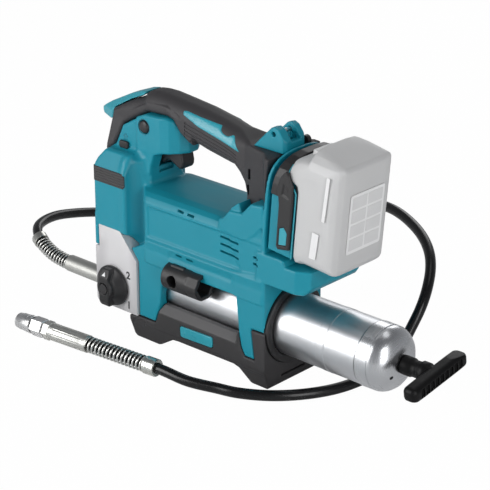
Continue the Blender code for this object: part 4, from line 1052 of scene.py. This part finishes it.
# ------------------------------------------------------------------ battery
# Everything here is in the pack's own leaning axes.
def battery_cradle():
    grid = PackBlock((50, -40, 128), (84, 40, 232), 0.8)
    x, y, z, off = grid.axes()
    cradle = meet(
        grid.profile([(-28.4, 3), (-28.4, 53), (-25, 72), (-22.5, 80), (-20.0, 87.8),
                      (-13, 87.8), (-13, 71), (-1, 70.6), (-1, 3)]),
        grid.section([(0, 2), (36, 2), (36.2, 62), (35.2, 70), (32.2, 76.8), (26.6, 82.2),
                      (18.5, 85.6), (9, 87.2), (0, 87.6)]), 1.0)
    cradle = less(cradle, meet(meet(band(x, -12.4, 9), band(z, 5.6, 120)), off - 28.6), 0.5)
    cradle = less(cradle, meet(meet(band(x, -20.4, -9), band(z, 18, 60)), off - 20.4))
    show(skin(grid, cradle, most=60000), "battery_cradle", TEAL, "housing", "teal_plastic",
         "battery_holder", sharp=50)


def battery_saddle():
    """An arch over the pack's front, with a windowed bar down each side."""
    grid = PackBlock((52, -42, 128), (102, 42, 236), 0.65)
    off = grid.off
    outer = grid.section([(0, -5), (38.6, -5), (38.6, 66), (37.4, 73.4), (34.2, 79.9),
                          (28.8, 85.0), (20.5, 88.6), (10, 90.2), (0, 90.6)])
    inner = grid.section([(0, -9), (36.7, -9), (36.7, 64), (35.5, 71.6), (32.5, 78.0),
                          (27.2, 83.0), (19.0, 86.6), (9.4, 88.2), (0, 88.6)])
    saddle = meet(
        grid.profile([(-27.6, 56), (-25.6, 72), (-23.6, 84), (-22.6, 91.0), (-13.2, 91.0),
                      (-13.2, 56)]), np.maximum(outer, -inner), 0.5)
    bar = meet(
        grid.profile([(-19.5, 64), (-17.5, 74), (-11.5, 82), (-8, 78), (-3.5, 70), (-2.2, 60),
                      (-2.2, 12), (-14.5, 9), (-16.5, 12), (-16.8, 50)]),
        band(off, 36.7, 40.2), 1.0)
    window = grid.profile([(-14.2, 13), (-14.4, 29), (-9.5, 31.5), (-5.2, 27), (-5.2, 15)])
    bar = less(bar, meet(window, 39.1 - off, 0.3), 0.3)
    dent = grid.profile([(-14, 60), (-12.5, 70), (-8, 66), (-6, 58)])
    bar = less(bar, meet(dent, 39.4 - off), 0.3)
    show(skin(grid, merge(saddle, bar, 0.8), most=80000), "battery_saddle", BLACK, "housing",
         "black_rubber", "battery_guard", sharp=50)


def case_block():
    return PackBlock((66, -41, 126), (148, 41, 236), 0.8)


def battery_case():
    grid = case_block()
    x, y, z, off = grid.axes()
    side_line = grid.profile(
        [(-12.2, 88.6), (-10.2, 90.4), (-2, 93.4), (6.2, 94.6), (7.2, 105.2), (9.5, 105.6),
         (40.8, 98.6), (44.8, 95.2), (44.8, 5.6), (42.0, 0.8), (37.4, -2.2), (3.2, -2.2),
         (0, 0.2), (0, 66), (-1.6, 70.6), (-6.0, 72.4), (-9.6, 74.2), (-12.4, 79)])
    plan = grid.plan([(-20, 0), (-20, 37.5), (29.5, 37.5), (35.5, 36.4), (40.2, 33.4),
                      (43.4, 28.6), (44.8, 22), (44.8, 0)])
    # The end view sinks towards the front, where the top is lower.
    sink = np.interp(x, [-13, -4, 8], [13.0, 6.0, 0]).astype(np.float32)
    across = sided([(0, -2.6), (20, -2.6), (29, 0.2), (34.6, 4.8), (37.2, 10.5), (37.6, 15),
                    (37.6, 82), (36.4, 89.4), (33.4, 95.8), (28.4, 101.0), (21.5, 104.6),
                    (12, 106.2), (0, 106.4)], off, z + sink)
    shell = meet(meet(side_line, plan, 2.0), across, 3.0)
    rails = meet(meet(band(x, -11.4, 3), band(z, 8, 75)), off - 27.4, 1.0)
    shell = np.minimum(shell, rails)
    shell = less(shell, meet(meet(band(x, -8.2, 6.6), 86.0 - z), off - 12.6), 0.6)
    show(skin(grid, shell, most=90000), "battery_case", PACK, "battery", "pack_plastic",
         "battery_shell", sharp=50)


def on_pack(obj):
    """Lean a shape made in the pack's upright axes to where the pack stands."""
    obj.data.transform(Matrix.Translation(Vector((PACK_X, 0, PACK_Z)) * MM)
                       @ Matrix.Rotation(LEAN, 4, "Y"))
    return obj


def pack_labels():
    bands = join(
        prism("XZ", [(18.6, 13), (25.4, 13.6), (27.0, 37), (20.2, 37.6)], -37.85, -37.3, 0.8),
        prism("XZ", [(28.4, 50), (31.6, 50), (33.4, 90), (30.2, 90)], -37.75, -37.2, 0.8))
    show(on_pack(both(bands)), "pack_side_bands", LABEL_LIGHT, "battery", "pack_plastic")
    label = prism("YZ", [(-22, 20), (22, 20), (22, 74), (-22, 74)], 44.6, 45.15, 2.0)
    show(on_pack(label), "pack_rear_label", LABEL_LIGHT, "battery", "pack_plastic")
    wide, high = 18.5, 10.6
    fields = []
    for row in range(4):
        for column in range(2):
            y, z = -19.5 + column * 20.5, 23 + row * 12.6
            fields.append(prism("YZ", [(y, z), (y + wide, z), (y + wide, z + high), (y, z + high)],
                                45.0, 45.35, 0.6))
    show(on_pack(join(*fields)), "pack_rear_label_fields", LABEL, "battery", "pack_plastic")


def saddle_trim():
    """The panes in the saddle's windows and the line along its rear edge."""
    panes = both(prism("XZ", [(-13.7, 13.6), (-13.9, 28.5), (-9.5, 30.9), (-5.8, 26.6),
                              (-5.8, 15.6)], -39.5, -38.6, 0.8))
    show(on_pack(panes), "saddle_windows", TEAL_SOFT, "housing", "teal_plastic")
    line = both(tube([(-13.2, -28.4, 84.6), (-13.3, -32.9, 80.2), (-13.4, -36.0, 74.6),
                      (-12.6, -37.2, 70.6), (-9.4, -37.2, 68.8), (-3.4, -37.2, 67.4),
                      (-1.0, -37.2, 64.0), (-1.0, -37.2, 4)], 0.6, 10))
    show(on_pack(line), "saddle_edge_line", TEAL_SOFT, "housing", "teal_plastic")


def battery_button():
    grid = case_block()
    button = meet(meet(band(grid.x, -7.6, 5.8), band(grid.z, 89.6, 95.8), 1.0),
                  grid.off - 11.8, 1.0)
    show(skin(grid, button, most=20000), "battery_release_button", PACK_LIGHT,
         "battery_button", "pack_plastic", "battery_button")


# ------------------------------------------------------------------ hose and its fittings
# Points on the hose's middle line, (x, y, z): from the pump head, then on to the coupler.
SUPPLY = [(-177, 0, 28), (-205, 0, 28), (-233, 0, 27.5), (-257, -0.5, 31), (-279, 3, 38.6),
          (-297, 15, 42), (-306.5, 30, 42), (-312.7, 53, 40), (-315, 82, 34), (-312, 112, 27),
          (-299, 148, 19), (-268, 180, 15), (-215, 202, 24), (-150, 212, 45), (-70, 207, 76),
          (13, 187, 98), (60, 168, 97), (91, 148, 91), (109, 129.5, 83), (119.4, 112, 71),
          (123.4, 98, 57), (121.2, 84, 36), (119.6, 74.5, 22), (118, 56, 11), (112, 28, 6.5),
          (105, 3, 5.3), (91, -24, 5.3), (71, -46, 5.3)]
RUN = [(46.6, -61.0, 5.3), (28, -66.5, 5.3), (0, -75.5, 6.2), (-26, -79.8, 9.4),
       (-60, -83, 9.6), (-126, -89.1, 9.6)]
RUN_END = Vector(RUN[-1])
RUN_DIR = (RUN_END - Vector(RUN[-2])).normalized()
INLET_Z = SUPPLY[0][2]
CURVE_STEPS = 32   # samples between two points of a curve


class Path:
    """A line through points, read by the distance along it."""

    def __init__(self, points):
        self.points = points
        self.lengths = [0.0]
        for before, after in zip(points, points[1:]):
            self.lengths.append(self.lengths[-1] + (after - before).length)
        self.total = self.lengths[-1]

    def locate(self, distance):
        """The stretch a distance falls in, and the share of it."""
        i = int(np.searchsorted(self.lengths, distance, side="right")) - 1
        i = min(i, len(self.points) - 2)
        return i, (distance - self.lengths[i]) / (self.lengths[i + 1] - self.lengths[i])

    def point(self, distance):
        i, share = self.locate(distance)
        return self.points[i].lerp(self.points[i + 1], share)

    def heading(self, distance):
        i, share = self.locate(distance)
        last = max(i, 1)
        before = (self.points[last] - self.points[last - 1]).normalized()
        ahead = (self.points[i + 1] - self.points[i]).normalized()
        return before.lerp(ahead, 0.5 + 0.5 * share).normalized()

    def coil(self, start, end, radius, turns, sides=22):
        """Points winding round the path."""
        result = []
        count = int(turns * sides)
        for step in range(count + 1):
            distance = start + (end - start) * step / count
            heading = self.heading(distance)
            side = heading.cross(Vector((0, 0, 1))).normalized()
            up = side.cross(heading)
            angle = math.tau * step / sides
            offset = side * math.cos(angle) + up * math.sin(angle)
            result.append(self.point(distance) + offset * radius)
        return result

    def sleeve(self, middle, profile):
        return lathe(self.heading(middle), self.point(middle), profile, 48)


def curve_through(points, spacing, before=None):
    """Evenly spaced points along a centripetal Catmull-Rom curve."""
    points = [Vector(p) for p in points]
    first = Vector(before) if before else points[0] * 2 - points[1]
    padded = [first] + points + [points[-1] * 2 - points[-2]]
    dense = []
    for a, b, c, d in zip(padded, padded[1:], padded[2:], padded[3:]):
        knots = [0.0]
        for p, q in ((a, b), (b, c), (c, d)):
            knots.append(knots[-1] + (q - p).length ** 0.5)
        for step in range(CURVE_STEPS):
            t = knots[1] + (knots[2] - knots[1]) * step / CURVE_STEPS

            def mix(p, q, i, j):
                low, high = knots[i], knots[j]
                return p * ((high - t) / (high - low)) + q * ((t - low) / (high - low))

            ab, bc, cd = mix(a, b, 0, 1), mix(b, c, 1, 2), mix(c, d, 2, 3)
            dense.append(mix(mix(ab, bc, 0, 2), mix(bc, cd, 1, 3), 1, 2))
    dense.append(points[-1])
    path = Path(dense)
    count = round(path.total / spacing) + 1
    return [path.point(path.total * step / (count - 1)) for step in range(count)]


def grease_hose():
    hose = tube(curve_through(SUPPLY + RUN, 4.0), 4.9, 36)
    show(hose, "grease_hose", HOSE, None, "hose_rubber", "hose_fixed", "hose_free", sharp=60,
         bend=("housing", "hose_end", (0.0, -0.0555, 0.005), (0.0, -0.0665, 0.005)))


def inlet_fittings():
    supply = Path(curve_through(SUPPLY, 3.0))
    inlet = join(
        lathe("X", (0, 0, INLET_Z), [(0, -232.6), (7.4, -232.6), (8.2, -231.8), (8.2, -165.8),
                                     (7.4, -165), (0, -165)], 64),
        lathe("X", (0, 0, INLET_Z), [(0, -152.8), (9.6, -153.0), (10.2, -153.8),
                                     (10.2, -161.6), (9.4, -162.6), (0, -162.6)], 6),
        rod("X", (-159, 0, INLET_Z), 7.8, 14, 40))
    show(inlet, "hose_inlet_fitting", FERRULE, "housing", "zinc_steel", "hose_inlet_ferrule",
         sharp=30)
    spring = tube(supply.coil(56.0, 100.0, 6.5, turns=12), 0.85, 10)
    show(spring, "hose_inlet_spring", WIRE, "housing", "zinc_steel", "inlet_spring_guard",
         sharp=None)
    collar = supply.sleeve(104.0, [(7.2, 4.2), (7.7, 3.6), (7.7, -3.6), (7.2, -4.2),
                                   (5.2, -4.2), (5.2, 4.2)])
    show(collar, "hose_inlet_collar", ZINC, "housing", "zinc_steel", "inlet_guard_collar",
         sharp=30)


def outlet_fittings():
    run = Path(curve_through(RUN, 3.0, before=SUPPLY[-1]))
    collar = run.sleeve(run.total - 88, [(7.6, 6.6), (8.2, 5.8), (8.2, 1.8), (7.9, 1.4),
                                         (7.9, 0.8), (8.2, 0.4), (8.2, -5.8), (7.6, -6.6),
                                         (5.2, -6.6), (5.2, 6.6)])
    show(collar, "hose_outlet_collar", ZINC, "hose_end", "zinc_steel", "outlet_guard_collar",
         sharp=30)
    spring = tube(run.coil(run.total - 81.5, run.total - 13.2, 6.75, turns=15.5), 0.95, 10)
    show(spring, "hose_outlet_spring", WIRE, "hose_end", "zinc_steel", "outlet_spring_guard",
         sharp=None)

    radius, ridge_depth, ridges, chamfer = 8.2, 0.3, 20, 0.8

    def fluted(angle):
        return radius - ridge_depth * (0.5 - 0.5 * math.cos(ridges * angle))

    outlet = join(
        lathe(RUN_DIR, RUN_END,
              [(0, -13.4), (radius - chamfer, -13.4), (radius, -13.4 + chamfer), (radius, -6),
               (fluted, -5.6), (fluted, 26.6), (radius, 27), (radius, 32.5 - chamfer),
               (radius - chamfer, 32.5), (0, 32.5)], 120),
        lathe(RUN_DIR, RUN_END, [(0, 31.6), (8.6, 31.6), (9.2, 32.4), (9.2, 38.8), (8.6, 39.6),
                                 (0, 39.6)], 6),
        lathe(RUN_DIR, RUN_END, [(0, 39), (4, 39), (4, 46), (0, 46)], 32))
    show(outlet, "hose_outlet_fitting", FERRULE, "hose_end", "zinc_steel",
         "hose_outlet_ferrule", sharp=30)


def coupler():
    body_at = RUN_END + RUN_DIR * 40.2
    body = join(
        lathe(RUN_DIR, body_at, [(4.5, 0.2), (8.4, 0.2), (9.3, 1.3), (9.3, 13.4), (8.6, 14.6),
                                 (4.5, 14.6)], 6),
        lathe(RUN_DIR, body_at, [(2.6, 14), (6.4, 14), (6.4, 29.4), (5.8, 30), (2.6, 30)], 40))
    show(body, "coupler_hex_body", ZINC_BRIGHT, "hose_end", "zinc_steel", "coupler_body",
         sharp=25)
    nozzle = lathe(RUN_DIR, RUN_END + RUN_DIR * 55.2,
                   [(3.2, 19), (6.2, 19), (7.2, 18.2), (7.6, 14.5), (7.9, 13.9), (8.2, 6.0),
                    (8.0, 5.6), (8.6, 5.0), (8.7, 0.8), (8.3, 0.2), (6.9, 0.2), (6.9, 15.6),
                    (3.2, 15.6)], 72)
    show(nozzle, "coupler_nozzle_sleeve", ZINC_BRIGHT, "coupler_sleeve", "zinc_steel",
         "coupler_sleeve", sharp=25)


def follower_spring():
    """The spring behind the follower, inside the barrel."""
    turns, sides, radius = 9, 24, 22.5
    start, length = -93.4, 234.2
    count = turns * sides
    coil = []
    for step in range(count + 1):
        angle = math.tau * step / sides
        coil.append((start + length * step / count, radius * math.cos(angle),
                     AXIS_Z + radius * math.sin(angle)))
    spring = show(tube(coil, 1.15, 10), "follower_coil_spring", WIRE, "barrel", "zinc_steel",
                  "follower_spring", sharp=None)
    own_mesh(spring)


for build in (housing_shell, lock_arrows, pump_head, selector_dial, handle_grip, nose_cap,
              trigger, locks, front_bumper, base_bumper, barrel, t_handle, coupler_holder,
              strap_eye, battery_cradle, battery_saddle, battery_case, pack_labels, saddle_trim,
              battery_button, grease_hose, inlet_fittings, outlet_fittings, coupler,
              follower_spring):
    build()

# ------------------------------------------------------------------ pieces kept from the frame
KEPT = [
    (ZINC, ("follower", "motor_can", "armature_bearing", "crank_bearing")),
    (BUMPER, ("follower_seal",)),
    (ZINC_BRIGHT, ("piston_rod", "check_ball")),
    (COPPER, ("armature",)),
    (BLACK, ("cooling_fan", "switch_body", "terminal_block")),
    (STEEL_DARK, ("reduction_gear", "crankshaft", "crank_yoke", "plunger")),
    (CAST, ("gear_case",)),
    (WIRE, ("check_spring",)),
    (SCREW, ("housing_screw_1", "housing_screw_2", "housing_screw_3", "housing_screw_4")),
]
for finish, names in KEPT:
    for name in names:
        for material_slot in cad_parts[name].material_slots:
            material_slot.material = finish


# ------------------------------------------------------------------ camera, world, lights, floor
# Places and sizes from here on are in metres, in the frame.
def add_camera(aim, azimuth, height, reach):
    """A camera at a distance from its aim; the angles are in degrees, azimuth from -y to +x."""
    azimuth, height = math.radians(azimuth), math.radians(height)
    away = Vector((math.sin(azimuth) * math.cos(height), -math.cos(azimuth) * math.cos(height),
                   math.sin(height)))
    lens = bpy.data.cameras.new("camera")
    lens.lens, lens.sensor_width, lens.clip_start = 139.6, 36.0, 0.05
    camera = bpy.data.objects.new("camera", lens)
    camera.location = Vector(aim) + away * reach
    camera.rotation_euler = (-away).to_track_quat("-Z", "Y").to_euler()
    bpy.context.scene.collection.objects.link(camera)
    bpy.context.scene.camera = camera


def add_world():
    """A soft sky, darker overhead, that the camera itself sees as plain white."""
    world = bpy.data.worlds.new("studio")
    world.use_nodes = True
    nodes = Nodes(world.node_tree)
    sky = nodes.tree.nodes["Background"]
    sky.inputs["Strength"].default_value = 0.42
    coord = nodes.add("ShaderNodeTexCoord")
    split = nodes.add("ShaderNodeSeparateXYZ")
    nodes.wire(coord, "Generated", split, "Vector")
    fade = nodes.add("ShaderNodeValToRGB")
    low, high = fade.color_ramp.elements
    low.position, low.color = 0.0, (0.92, 0.94, 0.97, 1)
    high.position, high.color = 0.85, (0.38, 0.39, 0.41, 1)
    nodes.wire(split, "Z", fade, "Fac")
    nodes.wire(fade, "Color", sky, "Color")
    white = nodes.add("ShaderNodeBackground", {"Color": (1, 1, 1, 1), "Strength": 1.0})
    ray = nodes.add("ShaderNodeLightPath")
    pick = nodes.add("ShaderNodeMixShader")
    nodes.wire(ray, "Is Camera Ray", pick, "Fac")
    nodes.wire(sky, "Background", pick, 1)
    nodes.wire(white, "Background", pick, 2)
    nodes.wire(pick, "Shader", nodes.tree.nodes["World Output"], "Surface")
    bpy.context.scene.world = world


def lamp(name, place, aim, size, power):
    data = bpy.data.lights.new(name, "AREA")
    data.shape = "RECTANGLE"
    data.size, data.size_y = size
    data.energy = power
    obj = bpy.data.objects.new(name, data)
    obj.location = place
    obj.rotation_euler = (Vector(aim) - Vector(place)).to_track_quat("-Z", "Y").to_euler()
    bpy.context.scene.collection.objects.link(obj)


def floor_material():
    """A pale floor that glows almost white to the camera."""
    pale = surface("floor_pale", colour=(0.9, 0.9, 0.9), rough=0.7, grain=0.02, grain_size=3.0,
                   blotch=0.01, blotch_size=400)
    nodes = Nodes(pale.node_tree)
    glow = nodes.add("ShaderNodeEmission", {"Color": (1, 1, 1, 1), "Strength": 1.0})
    ray = nodes.add("ShaderNodeLightPath")
    share = nodes.add("ShaderNodeMath", {1: 0.985}, operation="MULTIPLY")
    nodes.wire(ray, "Is Camera Ray", share, 0)
    blend = nodes.add("ShaderNodeMixShader")
    nodes.wire(share, "Value", blend, "Fac")
    nodes.wire(nodes.tree.nodes["Principled BSDF"], "BSDF", blend, 1)
    nodes.wire(glow, "Emission", blend, 2)
    nodes.wire(blend, "Shader", nodes.tree.nodes["Material Output"], "Surface")
    return pale


def add_floor():
    mesh = bpy.data.meshes.new("floor")
    bm = bmesh.new()
    bmesh.ops.create_circle(bm, cap_ends=True, radius=9.0, segments=64)
    bm.to_mesh(mesh)
    bm.free()
    floor = bpy.data.objects.new("floor", mesh)
    floor.location = (0, 0, -0.0004)
    bpy.context.scene.collection.objects.link(floor)
    mesh.materials.append(floor_material())


add_camera(aim=(-0.046, 0.0, 0.113), azimuth=42.6, height=22.8, reach=1.687)
add_world()
lamp("key", place=(-0.75, -1.35, 0.62), aim=(-0.03, 0, 0.11), size=(0.8, 1.1), power=15.5)
lamp("fill", place=(1.35, -0.55, 0.45), aim=(0.0, 0, 0.1), size=(0.6, 1.2), power=10)
lamp("top", place=(0.1, 0.35, 1.5), aim=(0, 0, 0.1), size=(0.9, 0.5), power=1.6)
lamp("back", place=(-0.6, 1.3, 0.8), aim=(0, 0, 0.12), size=(0.7, 0.8), power=3.5)
add_floor()

bpy.context.scene.view_settings.view_transform = "Standard"
bpy.context.scene.view_settings.look = "None"
